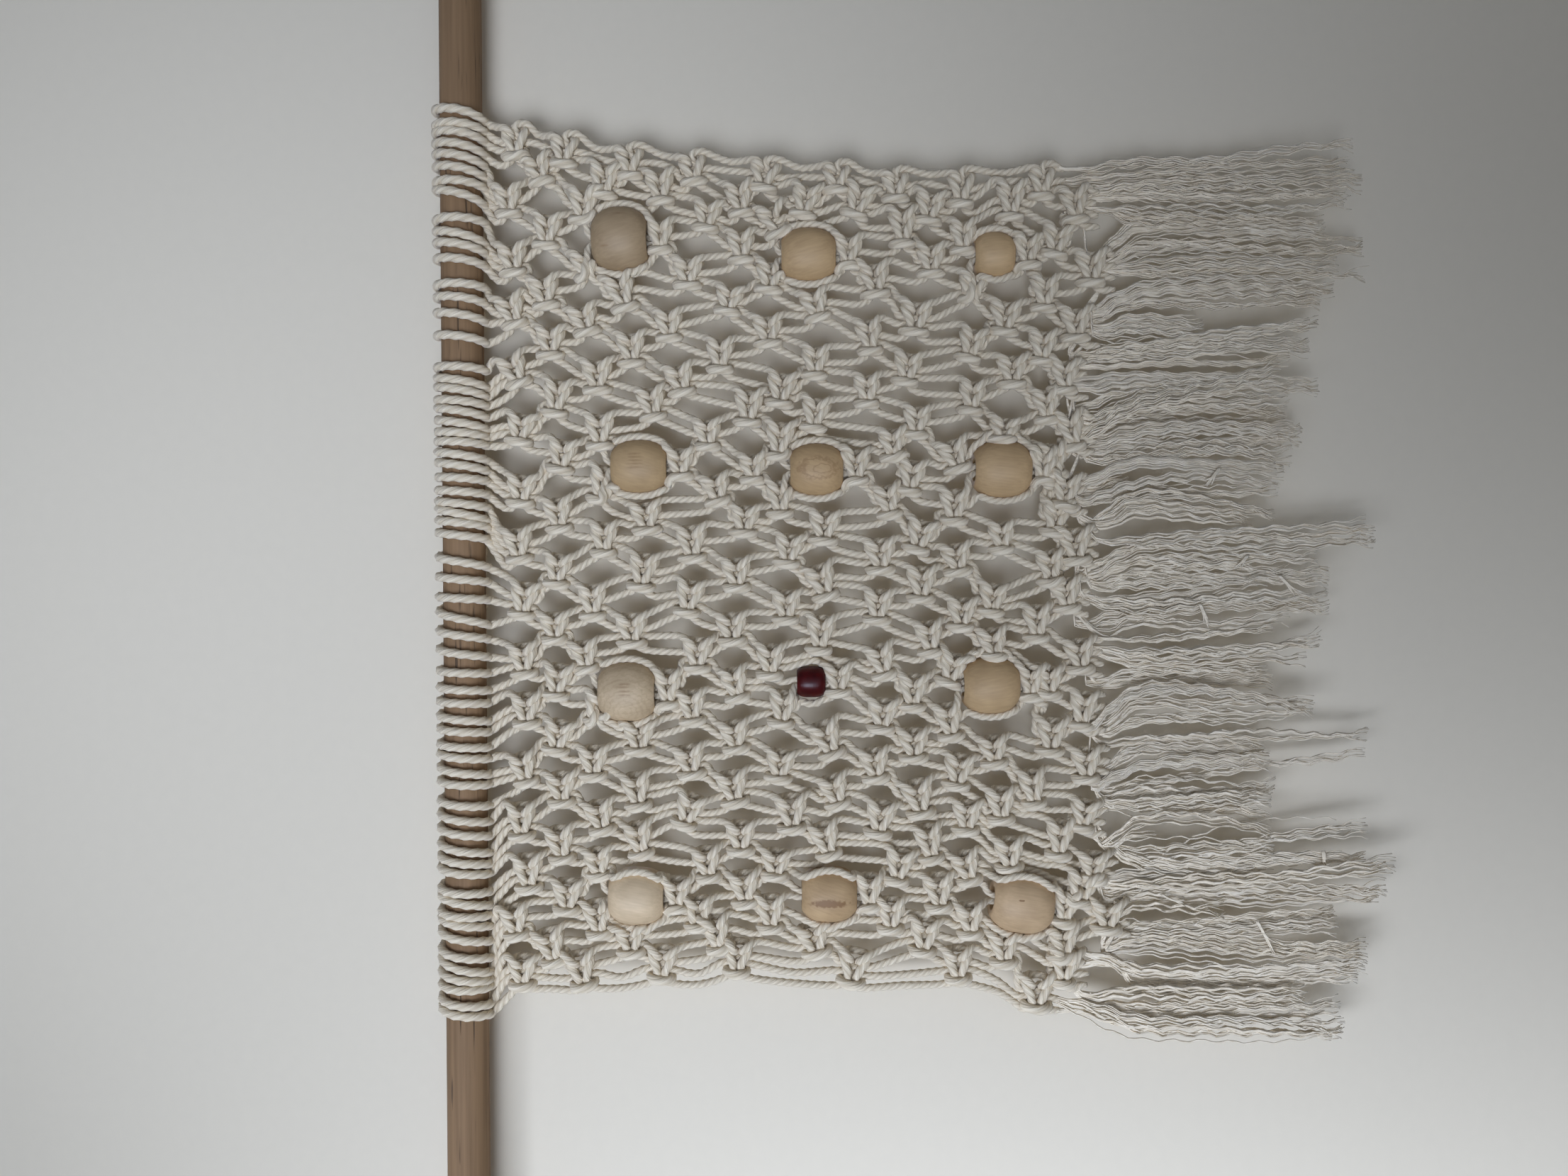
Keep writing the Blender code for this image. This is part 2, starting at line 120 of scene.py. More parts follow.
# %% The soft light of the room
DAYLIGHT = (0.88, 1.0, 1.27)  # cool, so that light that has crossed the cotton looks warm
ROOM_LIGHT = 0.12
bpy.context.scene.view_settings.view_transform = "Standard"
world = bpy.data.worlds.new("room")
bpy.context.scene.world = world
world.use_nodes = True
background = world.node_tree.nodes["Background"]
background.inputs["Color"].default_value = (*DAYLIGHT, 1)
background.inputs["Strength"].default_value = ROOM_LIGHT
print("the room's light has strength", ROOM_LIGHT)

# %% The lamps
def add_lamp(name, place, target, size, power, spread):
    """A square soft lamp that shines from a place towards a target, spread over some degrees."""
    bpy.ops.object.light_add(type="AREA", location=place)
    lamp = bpy.context.object
    lamp.name = name
    lamp.data.size = size
    lamp.data.energy = power
    lamp.data.color = DAYLIGHT
    lamp.data.spread = math.radians(spread)
    lamp.rotation_euler = (Vector(target) - Vector(place)).to_track_quat("-Z", "Y").to_euler()
    print(f"{name}: {power} W")


add_lamp("key_lamp", (-0.42, -0.92, 0.08), (0.01, 0.014, 0.07), 0.5, 0.76, 47.5)
add_lamp("side_lamp", (-0.56, -0.74, 0.26), (-0.63, 0.014, -0.4), 0.5, 3.44, 63)
add_lamp("room_lamp", (-0.1, -1.4, -0.15), (-0.1, 0, -0.15), 1.6, 3.1, 180)
add_lamp("back_lamp", (0.4, 1.5, 0.4), (0, 0, -0.2), 1.0, 3.2, 180)

# %% [markdown]
# ## Materials
#
# A finish is a network of nodes. They could be added and linked one at a time, but shader maths
# reads better as arithmetic. The first class wraps one socket of a node, so that an expression
# such as `1 - groove * 0.4` adds its Math nodes by itself. The second one holds a whole finish.

# %% Shader maths as plain expressions
class Value:
    """A socket that numbers and other sockets can be added to, multiplied with and so on."""

    def __init__(self, finish, socket):
        self.finish, self.socket = finish, socket

    def _math(self, operation, a, b=0.0):
        return self.finish.node("ShaderNodeMath", {"operation": operation}, {0: a, 1: b})

    def __add__(self, other): return self._math("ADD", self, other)
    def __radd__(self, other): return self._math("ADD", other, self)
    def __sub__(self, other): return self._math("SUBTRACT", self, other)
    def __rsub__(self, other): return self._math("SUBTRACT", other, self)
    def __mul__(self, other): return self._math("MULTIPLY", self, other)
    def __rmul__(self, other): return self._math("MULTIPLY", other, self)
    def __truediv__(self, other): return self._math("DIVIDE", self, other)
    def __pow__(self, other): return self._math("POWER", self, other)
    def sin(self): return self._math("SINE", self)
    def abs(self): return self._math("ABSOLUTE", self)
    def clamp(self): return self._math("MINIMUM", self._math("MAXIMUM", self, 0.0), 1.0)


print("sockets can be added, multiplied and so on")


# %% One finish and its nodes
class Finish:
    """One material: its Principled shader and a method that adds any other node."""

    def __init__(self, name, **sockets):
        self.material = bpy.data.materials.new(name)
        self.material.use_nodes = True
        self.nodes = self.material.node_tree.nodes
        self.links = self.material.node_tree.links
        self.shader = self.nodes["Principled BSDF"]
        for socket, value in sockets.items():
            self.shader.inputs[socket.replace("_", " ")].default_value = value

    def node(self, kind, settings=None, inputs=None, output=0):
        """Add a node, give it its settings, then its values or links. Gives one output."""
        node = self.nodes.new(kind)
        for setting, value in (settings or {}).items():
            setattr(node, setting, value)
        for socket, value in (inputs or {}).items():
            if isinstance(value, Value):
                self.links.new(value.socket, node.inputs[socket])
            else:
                node.inputs[socket].default_value = value
        return Value(self, node.outputs[output])

    def place(self, name="Object"):
        """The texture coordinates of a kind, such as Object or UV."""
        return self.node("ShaderNodeTexCoord", output=name)

    def stretch(self, vector, scale, turn=(0, 0, 0)):
        return self.node("ShaderNodeMapping", {}, {"Vector": vector, "Scale": scale,
                                                   "Rotation": turn})

    def split(self, vector):
        """The X, Y and Z of a vector."""
        x = self.node("ShaderNodeSeparateXYZ", {}, {0: vector})
        return [Value(self, output) for output in x.socket.node.outputs]

    def join(self, x, y, z=0.0):
        return self.node("ShaderNodeCombineXYZ", {}, {0: x, 1: y, 2: z})

    def noise(self, vector, scale, detail=2.0, roughness=0.5):
        return self.node("ShaderNodeTexNoise", {}, {"Vector": vector, "Scale": scale,
                                                    "Detail": detail, "Roughness": roughness})

    def mix(self, share, low, high):
        """A colour between two colours. The node keeps its colours behind sockets 6 and 7."""
        low, high = (colour if isinstance(colour, Value) else (*colour, 1)
                     for colour in (low, high))
        return self.node("ShaderNodeMix", {"data_type": "RGBA"}, {0: share, 6: low, 7: high}, 2)

    def bump(self, height, depth):
        """A bump of a real depth in metres."""
        return self.node("ShaderNodeBump", {}, {"Height": height, "Distance": depth})

    def wear(self, **sockets):
        """Link what changes over the surface to the shader."""
        for socket, value in sockets.items():
            self.links.new(value.socket, self.shader.inputs[socket.replace("_", " ")])
        print(f"{self.material.name}: {len(self.nodes)} nodes")
        return self.material


print("finishes can be mixed")

# %% [markdown]
# ### Cotton
#
# The cord is three plies twisted together, and each ply is a bundle of soft yarns. The plies
# are in the mesh. The yarns are too fine for that, so they are a bump that runs along the
# plies: on each cord's UV map, U goes once around and V goes along it in metres, and the
# pattern leans by one turn for every lay of the rope, which is one full turn of its plies.
# The colour also carries painted shade: it is darker in the grooves between the plies and,
# more faintly, between the yarns, and lighter on their crests. Noise adds the cotton's own uneven
# tone.

# %% The cotton of the cords
LAY = 9 * STEP                # one full turn of the plies
# The colours of the lit crests and of the painted shade in the grooves.
COTTON_LIGHT = (0.895, 0.78, 0.583)
COTTON_SHADE = (0.61, 0.50, 0.34)


def make_cotton():
    finish = Finish("cotton", Roughness=0.95, Sheen_Weight=0.2, Sheen_Roughness=0.5)
    around, along, _ = finish.split(finish.place("UV"))
    angle = (around + along / LAY) * (2 * math.pi)
    sine, cosine = angle.sin(), (angle + math.pi / 2).sin()
    yarns = finish.noise(finish.join(sine, cosine, along * 90), 2.6, detail=1.0)
    fibres = finish.noise(finish.join(sine * 3, cosine * 3, along * 400), 3.5)
    ridge = (angle * 3 + yarns * 2 + math.pi / 2).sin() * 0.5 + 0.5
    strands = (angle * 9 + yarns * 9).sin() * 0.5 + 0.5
    clouds = finish.noise(finish.place(), 35.0)
    # Painted shade: ridge and strands make the grooves between plies and yarns darker and the
    # crests lighter;
    # yarns, fibres and clouds add the cotton's own uneven tone.
    light = (ridge * 0.65 + strands * 0.12 + yarns * 0.4 + fibres * 0.3 + clouds * 0.3
             - 0.4).clamp()
    colour = finish.mix(light, COTTON_SHADE, COTTON_LIGHT)
    relief = finish.bump(strands * 0.3 + ridge * 0.35 + yarns * 0.3 + fibres * 0.2, 0.4 * MM)
    return finish.wear(Base_Color=colour, Normal=relief)


cotton = make_cotton()

# %% [markdown]
# ## The plan of the knots
#
# The net has fourteen rows of square knots. A row is tied from four neighbouring cords at a
# time, and the next row takes two cords from each of two knots, so the rows step sideways by
# half a knot. A formula could place them all alike, but beads push some knots down, and nobody
# ties all rows equally tight. So a table says how far down each knot sits, from the right edge
# of the cloth to the left, and a formula only spreads them from side to side.

# %% How far down the knots of each row sit, in pixels of the photograph
ODD_ROWS = (
    (715, 722, 725, 725, 735, 735, 730, 738, 738, 742, 737, 735, 744, 729, 735),
    (820, 822, 824, 842, 845, 849, 850, 838, 825, 839, 838, 844, 843, 845, 821),
    (1000, 970, 945, 960, 995, 1010, 975, 970, 980, 975, 975, 970, 1000, 985, 932),
    (1095, 1085, 1080, 1100, 1100, 1100, 1110, 1110, 1085, 1105, 1100, 1115, 1095, 1090, 1040),
    (1272, 1235, 1225, 1220, 1255, 1255, 1245, 1240, 1245, 1245, 1235, 1240, 1270, 1260, 1200),
    (1360, 1370, 1370, 1370, 1345, 1345, 1350, 1355, 1340, 1345, 1350, 1365, 1365, 1370, 1350),
    (1488, 1475, 1475, 1478, 1490, 1490, 1480, 1465, 1480, 1485, 1460, 1495, 1528, 1500, 1465),
)
EVEN_ROWS = (
    (770, 767, 775, 783, 793, 788, 785, 781, 786, 788, 788, 790, 797, 782),
    (940, 878, 890, 917, 968, 907, 903, 887, 944, 902, 900, 902, 953, 888),
    (1045, 1030, 1015, 1055, 1065, 1050, 1040, 1030, 1040, 1035, 1035, 1045, 1050, 1015),
    (1203, 1150, 1150, 1150, 1215, 1160, 1160, 1155, 1190, 1170, 1175, 1165, 1220, 1150),
    (1315, 1290, 1280, 1295, 1285, 1295, 1300, 1310, 1290, 1290, 1297, 1310, 1325, 1305),
    (1452, 1420, 1430, 1415, 1470, 1415, 1400, 1400, 1450, 1405, 1415, 1425, 1495, 1415),
    (1540, 1520, 1505, 1510, 1505, 1518, 1505, 1522, 1525, 1530, 1530, 1545, 1560, 1500),
)
# The right edge has two more pairs of knots than the rest, to fill in beside the beads.
RIGHT_ODD = ((725, 205), (795, 215), (885, 230), (980, 240), (1080, 250), (1180, 258),
             (1262, 262), (1357, 262), (1468, 258))
RIGHT_EVEN = ((762, 240), (851, 257), (930, 265), (1040, 283), (1135, 285), (1212, 287),
              (1312, 292), (1422, 290), (1517, 290))
# Where the outermost knots of each odd row sit across the cloth.
ROW_ENDS = ((205, 1378), (215, 1370), (230, 1360), (240, 1360), (250, 1365), (260, 1368),
            (262, 1400), (262, 1400))
COLUMNS = 16
CORDS = 64
BOW = 22                      # how far the middle columns stand from an even spacing
print(len(ODD_ROWS) + len(EVEN_ROWS), "rows")


# %% Put the knots in a list
def across(row, share):
    """The photograph's y of a knot that lies a share of the way from right to left."""
    low, high = ROW_ENDS[int(row)], ROW_ENDS[min(int(row) + 1, len(ROW_ENDS) - 1)]
    part = row - int(row)
    first, last = (a + (b - a) * part for a, b in zip(low, high))
    return first + (last - first) * share + BOW * math.sin(math.pi * share ** 1.6)


knots = [(px, py, CORDS - 4, None) for px, py in RIGHT_ODD]
knots += [(px, py, CORDS - 6, None) for px, py in RIGHT_EVEN]
for row, drops in enumerate(ODD_ROWS):
    for i, px in enumerate(drops, start=2):
        knots.append((px, across(row, (i - 1) / (COLUMNS - 1)), CORDS - 4 * i, None))
for row, drops in enumerate(EVEN_ROWS):
    for j, px in enumerate(drops, start=2):
        place = across(row + 0.5, (j - 0.5) / (COLUMNS - 1))
        knots.append((px, place, CORDS - 2 - 4 * j, (row, j)))
print(len(knots), "knots")

# %% [markdown]
# ## The beads
#
# Eleven beads are turned from pale wood, and one is small, red and glossy. Two cords run
# through each bore, and the other two of the same knot run around the outside. One size could
# serve them all, but the real ones differ by a few millimetres, which shows in the net. So a
# table gives each bead's outline in the photograph, and its solid gives its place.

# %% Where the beads are and how big they are, in pixels of the photograph
BEADS = {
    # (even row, column): name, from x, to x, from y, to y, lean in degrees
    (1, 2): ("bead_1_4", 841, 918, 292, 384, 0),
    (3, 2): ("bead_2_4", 1106, 1182, 323, 400, 0),
    (5, 2): ("bead_3_4", 1377, 1433, 331, 396, 0),
    (1, 6): ("bead_1_3", 865, 943, 619, 695, 0),
    (3, 6): ("bead_2_3", 1116, 1190, 626, 701, 0),
    (5, 6): ("bead_3_3", 1374, 1453, 624, 706, 0),
    (1, 10): ("bead_1_2", 845, 924, 931, 1016, 0),
    (3, 10): ("bead_2_2", 1123, 1163, 940, 984, 0),
    (5, 10): ("bead_3_2", 1356, 1434, 928, 1009, 0),
    (1, 14): ("bead_1_1", 858, 935, 1222, 1302, 0),
    (3, 14): ("bead_2_1", 1128, 1205, 1222, 1300, 0),
    (5, 14): ("bead_3_1", 1397, 1482, 1232, 1317, 9),
}
SMALL_BEAD = 15 * MM          # a bead under this size is boxier


class Bead:
    """A bead's place, its size and the way it leans."""

    def __init__(self, name, x0, x1, y0, y1, lean):
        self.name = name
        low, high = (Vector(corner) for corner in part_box(name))
        self.place = np.array((low + high) / 2)
        self.length, self.diameter = (x1 - x0) * PIXEL, (y1 - y0) * PIXEL
        self.turn = np.array(Matrix.Rotation(math.radians(lean), 3, "Y"))
        self.small = self.diameter < SMALL_BEAD
        self.bulge = 3.6 if self.small else 2.5

    def to_world(self, x, y, z):
        return self.place + self.turn @ np.array([x, y, z])

    def to_local(self, points):
        return (points - self.place) @ self.turn


beads = {key: Bead(*row) for key, row in BEADS.items()}
print("beads across, in mm:", [round(bead.diameter / MM, 1) for bead in beads.values()])

# %% [markdown]
# ## A left-facing square knot
#
# The left cord crosses in front of the two fillers and comes back. The right cord passes in
# front of it on the right, behind the fillers, and out over both of its crossings on the left,
# where it makes the bump that faces left. The lists give each cord's way through the knot, in
# millimetres from the knot's middle: across, towards the back, and up. Both halves of the knot
# are alike, so a list goes down to the middle, and the rest of the way mirrors it. A knot could
# also be modelled once as a mesh and copied, but then no cord would run from knot to knot.

# %% The way of each cord through a knot: across, back, up and the cord's fatness
LEFT_CORD = ((-6.6, -0.2, 5.2, 1.0), (-5.4, -0.9, 2.3, 1.0), (-3.4, -2.0, 1.2, 1.05),
             (-0.6, -2.8, 1.8, 1.12), (2.4, -2.8, 3.1, 1.12), (4.7, -1.7, 4.3, 1.1),
             (5.9, 0.2, 4.0, 1.0), (6.0, 1.5, 2.0, 1.0), (5.9, 1.7, 0, 1.0))
RIGHT_CORD = ((7.2, -1.6, 6.4, 1.0), (6.2, -3.6, 4.2, 1.05), (4.6, -4.0, 2.6, 1.08),
              (3.2, -2.6, 1.5, 1.0), (2.7, -0.4, 1.3, 0.95), (2.0, 1.9, 1.3, 1.0),
              (0, 2.8, 1.4, 1.0), (-2.2, 2.4, 2.4, 1.0), (-3.5, 0.9, 3.7, 1.1),
              (-4.0, -1.5, 4.1, 1.2), (-4.3, -3.3, 2.9, 1.25), (-4.5, -4.0, 1.4, 1.28),
              (-4.6, -4.1, 0, 1.28))
LEFT_FILLER = ((-1.5, 0.1, 5.6, 1.0), (-1.4, 0.0, 2.0, 1.0), (-1.4, 0.0, 0, 1.0))
RIGHT_FILLER = ((1.5, 0.1, 5.6, 1.0), (1.35, 0.0, 2.0, 1.0), (1.3, 0.0, 0, 1.0))


def whole_way(half):
    """The way down to the middle, and its mirror image below."""
    upper = [np.array(point) for point in half]
    return upper + [point * (1, 1, -1, 1) for point in reversed(upper[:-1])]


WAYS = [whole_way(way) for way in (LEFT_CORD, LEFT_FILLER, RIGHT_FILLER, RIGHT_CORD)]
# At the cloth's right edge the outermost cord leaves the knot upwards and arches over its side.
RIGHT_EDGE = ([np.array(point) for point in ((5.4, -2.6, 4.6, 1.0), *RIGHT_CORD[2:])]
              + WAYS[3][len(RIGHT_CORD):-4]
              + [np.array(point) for point in ((3.2, 0.4, -0.6, 1.0), (4.6, -1.6, 0.3, 1.0),
                                               (6.0, -2.4, 0.4, 1.0), (7.2, -2.2, -1.1, 1.0),
                                               (7.5, -1.5, -4.2, 1.0))])
print("stops in a knot, cord by cord:", [len(way) for way in WAYS])

# %% [markdown]
# ## Tie the net
#
# Each of the 64 cords gets a list of stops. Each list could be written cord by cord, but a net
# is easier to follow knot by knot, as it is tied: going down the cloth, every knot adds its own
# stops to its four cords. Small turns and sizes differ from knot to knot.

# %% Tie one knot
KNOT_FRONT = -5 * MM          # the depth at which the photograph shows a knot
KNOT_SIZE = (1.03, 1, 0.95)   # across, back and up, against the lists above
UNDER_BEAD = 4.6 * MM         # from a bead to the middle of the knot below it
routes = [[] for _ in range(CORDS)]
last_knot = [None] * CORDS
last_spot = [None] * CORDS


def add_stop(cord, place, fatness=1.0):
    routes[cord].append(np.append(place, fatness))


def tie(px, py, first, bead):
    """Add a knot's stops to its four cords, and first the bead above it, if it has one."""
    middle = spot(px + rng.normal(0, 2), py + rng.normal(0, 3), KNOT_FRONT)
    middle[1] = CLOTH_Y
    tilt = rng.normal(0, 8)
    size = rng.normal(KNOT_SIZE, 0.07) * MM
    if bead is not None:
        size[0] *= 0.95
        tilt = math.degrees(math.asin(bead.turn[0, 2]))
        middle = bead.to_world(0, 0, -bead.length / 2 - UNDER_BEAD)
        thread_bead(bead, first)
    turn = np.array(Matrix.Rotation(math.radians(tilt), 3, "Y"))
    for cord, way in enumerate(WAYS):
        if first + cord == 0:
            way = way[1:-1]   # this edge cord goes straight on along the cloth's edge
        if first + cord == CORDS - 1:
            way = RIGHT_EDGE
        for point in way:
            add_stop(first + cord, middle + turn @ (point[:3] * size), point[3])
        last_knot[first + cord], last_spot[first + cord] = cord, middle


print("knots can be tied")


# %% Thread a bead
def thread_bead(bead, first):
    """Two cords around the outside of a bead and two through its bore."""
    radius, half = bead.diameter / 2, bead.length / 2
    beside = radius + 0.7 * CORD_RADIUS
    for cord, side in ((first, -1), (first + 3, 1)):
        covers = side == 1 and bead.name.endswith("_1")
        out, front = (0.84, -5.5 * MM) if covers else (0.98, -2.2 * MM)
        if bead.small:
            out, front = 1.2, -0.5 * MM   # around the smallest bead the cords stand clear
        for share, height in ((out - 0.18, 0.85), (out, 0.3), (out, -0.3), (out - 0.26, -0.88)):
            add_stop(cord, bead.to_world(side * beside * share, front, half * height))
    inner = min(1.2 * MM, 0.09 * bead.diameter)
    for cord, side in ((first + 1, -1), (first + 2, 1)):
        while bead.to_local(routes[cord][-1][:3])[2] < half + 2 * MM:
            routes[cord].pop()    # a stop of the knot above that the bead leaves no room for
        for height in (1.1, 0.5, 0, -0.5, -1.08):
            add_stop(cord, bead.to_world(side * inner, 0, half * height), 0.85)


print("beads can be threaded")

# %% Tie all the knots, and bow the cords out between them at the cloth's edges
# The photograph's y of each bow, going down the cloth.
LEFT_ARCS = (1396, 1395, 1390, 1388, 1391, 1400, 1422, 1430)
RIGHT_ARCS = (190, 208, 217, 227, 236, 242, 245, 243, 245)


def edge_stop(cord, px, py):
    """A stop where a cord bows out at the cloth's edge, between two knots of its column."""
    middle = spot(px, py)
    outer = cord in (0, CORDS - 1)
    side, inward = (-1, 4.2) if cord < 2 else (1, 3.6)
    add_stop(cord, middle - np.array([side * (0.3 if outer else inward) * MM, 0, 0]))


for px, py, first, key in sorted(knots, key=lambda knot: knot[0]):
    if first in (0, CORDS - 4):
        arcs, cords = (LEFT_ARCS, (0, 1)) if first == 0 else (RIGHT_ARCS, (CORDS - 2, CORDS - 1))
        column = sorted(knot[0] for knot in knots if knot[2] == first)
        place = column.index(px)
        if place:
            for cord in cords:
                edge_stop(cord, (column[place - 1] + px) / 2, arcs[place - 1])
    tie(px, py, first, beads.get(key))
print(sum(len(route) for route in routes), "stops in the net")

# %% [markdown]
# ## Fold the cords over the rod
#
# A reverse lark's head: the middle of a folded cord lies behind the rod, and from there each
# half goes up over the top, down the front, under the rod and out through its own fold. From
# the front only the wraps show. Plain rings around the rod could stand for them, but the real
# ones slant and lead on into the net, so each wrap is the start of its own cord. They lie close
# in some places and apart in others.

# %% Where the wraps cross the rod's front, in pixels of the photograph, from right to left
WRAPS = (155, 174, 186, 203, 219, 236, 255, 272, 307, 329, 344, 365, 400, 419, 443, 474,
         517, 536, 549, 565, 579, 596, 610, 623, 641, 656, 674, 693, 710, 724, 737, 755,
         792, 817, 844, 872, 896, 922, 949, 973, 992, 1015, 1032, 1054, 1069, 1090, 1107, 1136,
         1157, 1177, 1200, 1217, 1232, 1260, 1274, 1293, 1305, 1325, 1350, 1367,
         1382, 1396, 1418, 1432)
WRAP_STOPS = 13
WRAP_FROM, WRAP_TO = -118, 178   # degrees from the rod's top, towards the front
WRAP_SLANT = 5.5              # millimetres along the rod
WRAP_FATNESS = 1.15


def wrap_route(cord, partner):
    """The stops of a cord from the middle of its fold to where it leaves the rod."""
    x, other = (spot(ROD_PIXEL, WRAPS[CORDS - 1 - c], -ROD_RADIUS)[0] for c in (cord, partner))
    reach = ROD_RADIUS + CORD_RADIUS
    slant = -(WRAP_SLANT + rng.normal(0, 2.0)) * MM
    stops = [np.array([(x + other) / 2, reach + 1.6 * CORD_RADIUS, -3.5 * MM])]
    stops.append(np.array([x * 0.75 + other * 0.25, reach + 1.3 * CORD_RADIUS, -3.2 * MM]))
    for i in range(WRAP_STOPS):
        share = i / (WRAP_STOPS - 1)
        angle = math.radians(WRAP_FROM + (WRAP_TO - WRAP_FROM) * share)
        out = reach + (1.0 * MM * max(0, 1 - share * 6))
        stops.append(np.array([x + slant * (share - 0.7), -math.sin(angle) * out,
                               math.cos(angle) * out]))
    return [np.append(place, WRAP_FATNESS) for place in stops]


for cord in range(CORDS):
    partner = cord ^ 1        # cords 0 and 1 are the halves of one fold, and so on
    routes[cord] = wrap_route(cord, partner) + routes[cord]
print("stops on the first cord:", len(routes[0]))

# %% [markdown]
# ## From stops to smooth cords
#
# A curve through the stops is walked in equal steps. Blender's own curves could draw it, but
# the points are wanted as lists of numbers, because the cords are then let go like real rope:
# where two of them overlap they push each other apart, and each one also smooths itself and
# holds on to its place.

# %% Walk a smooth curve through the stops
SPAN_POINTS = 12              # points between two stops, before the equal steps


def smooth_walk(stops, step):
    """Points in equal steps along a curve through the stops."""
    points = np.array(stops)
    points = np.vstack((2 * points[0] - points[1], points, 2 * points[-1] - points[-2]))
    spans = np.sqrt(np.linalg.norm(np.diff(points[:, :3], axis=0), axis=1)) + 1e-6
    knots_at = np.concatenate(([0], np.cumsum(spans)))
    pieces = []
    for i in range(1, len(points) - 2):
        t0, t1, t2, t3 = knots_at[i - 1:i + 3]
        p0, p1, p2, p3 = points[i - 1:i + 3]
        t = np.linspace(t1, t2, SPAN_POINTS, endpoint=False)[:, None]
        a1 = ((t1 - t) * p0 + (t - t0) * p1) / (t1 - t0)
        a2 = ((t2 - t) * p1 + (t - t1) * p2) / (t2 - t1)
        a3 = ((t3 - t) * p2 + (t - t2) * p3) / (t3 - t2)
        b1 = ((t2 - t) * a1 + (t - t0) * a2) / (t2 - t0)
        b2 = ((t3 - t) * a2 + (t - t1) * a3) / (t3 - t1)
        pieces.append(((t2 - t) * b1 + (t - t1) * b2) / (t2 - t1))
    curve = np.vstack(pieces + [points[-2:-1]])
    return resample(curve, step)


def resample(path, step):
    """Points in equal steps along a path. All that a point carries goes with it."""
    spans = np.linalg.norm(np.diff(path[:, :3], axis=0), axis=1)
    length = np.concatenate(([0], np.cumsum(spans)))
    stations = np.arange(0, length[-1], step)
    return np.column_stack([np.interp(stations, length, column) for column in path.T])


print("curves can be walked")


# %% Find the places where cords touch
def close_pairs(points, reach):
    """Index pairs of points closer than a reach, found with a grid of cells."""
    cells = np.floor((points - points.min(0)) / reach).astype(np.int64) + 1
    size = cells.max(0) + 2
    key = (cells[:, 0] * size[1] + cells[:, 1]) * size[2] + cells[:, 2]
    order = np.argsort(key, kind="stable")
    sorted_key = key[order]
    found = []
    for dx in (-1, 0, 1):
        for dy in (-1, 0, 1):
            for dz in (-1, 0, 1):
                offset = (dx * size[1] + dy) * size[2] + dz
                if offset < 0:
                    continue
                low = np.searchsorted(sorted_key, key + offset, "left")
                high = np.searchsorted(sorted_key, key + offset, "right")
                count = high - low
                first = np.repeat(np.arange(len(points)), count)
                start = np.repeat(low - np.concatenate(([0], np.cumsum(count)[:-1])), count)
                second = order[start + np.arange(count.sum())]
                keep = (first < second) if offset == 0 else np.ones(len(first), bool)
                found.append(np.column_stack((first[keep], second[keep])))
    pairs = np.vstack(found)
    gap = np.linalg.norm(points[pairs[:, 0]] - points[pairs[:, 1]], axis=1)
    return pairs[gap < reach]


print("touching places can be found")


# %% Keep the cords out of the wood
def keep_off(points):
    """Move points out of the rod and out of the beads' wood."""
    radial = np.hypot(points[:, 1], points[:, 2])
    deep = radial < ROD_RADIUS + CORD_RADIUS
    lift = (ROD_RADIUS + CORD_RADIUS) / (radial[deep] + 1e-9)
    points[deep, 1:] *= lift[:, None]
    for bead in beads.values():
        local = bead.to_local(points)
        near = np.flatnonzero(np.abs(local[:, 2]) < bead.length / 2 + CORD_RADIUS)
        near = near[np.hypot(local[near, 0], local[near, 1]) < bead.diameter]
        if not len(near):
            continue
        out = np.hypot(local[near, 0], local[near, 1]) + 1e-9
        # The skin is a barrel a little longer than the bead, with room for half a cord.
        share = np.clip(np.abs(local[near, 2]) / (0.62 * bead.length), 0, 1)
        skin = bead.diameter / 2 * (1 - share ** 2.4) ** (1 / 2.4) + 0.85 * CORD_RADIUS
        touching = (out > 0.22 * bead.diameter) & (out < skin)
        hit = near[touching]
        local[hit, :2] *= (skin[touching] / out[touching])[:, None]
        points[hit] = bead.place + local[hit] @ bead.turn.T


print("cords can be kept off the rod and the beads")

# %% Let the cords push each other apart
TIGHT = 2.4 * MM              # how close two cords' middles can be pulled
RELAX_STEP = 1.1 * MM
RELAX_ROUNDS = 16
LOOK_EVERY = 4                # rounds between two searches for touching places
PUSH, LONGEST_PUSH = 0.3, 0.5 * MM
STIFFNESS, HOLD = 0.10, 0.06  # how much a cord smooths itself and keeps its place in a round


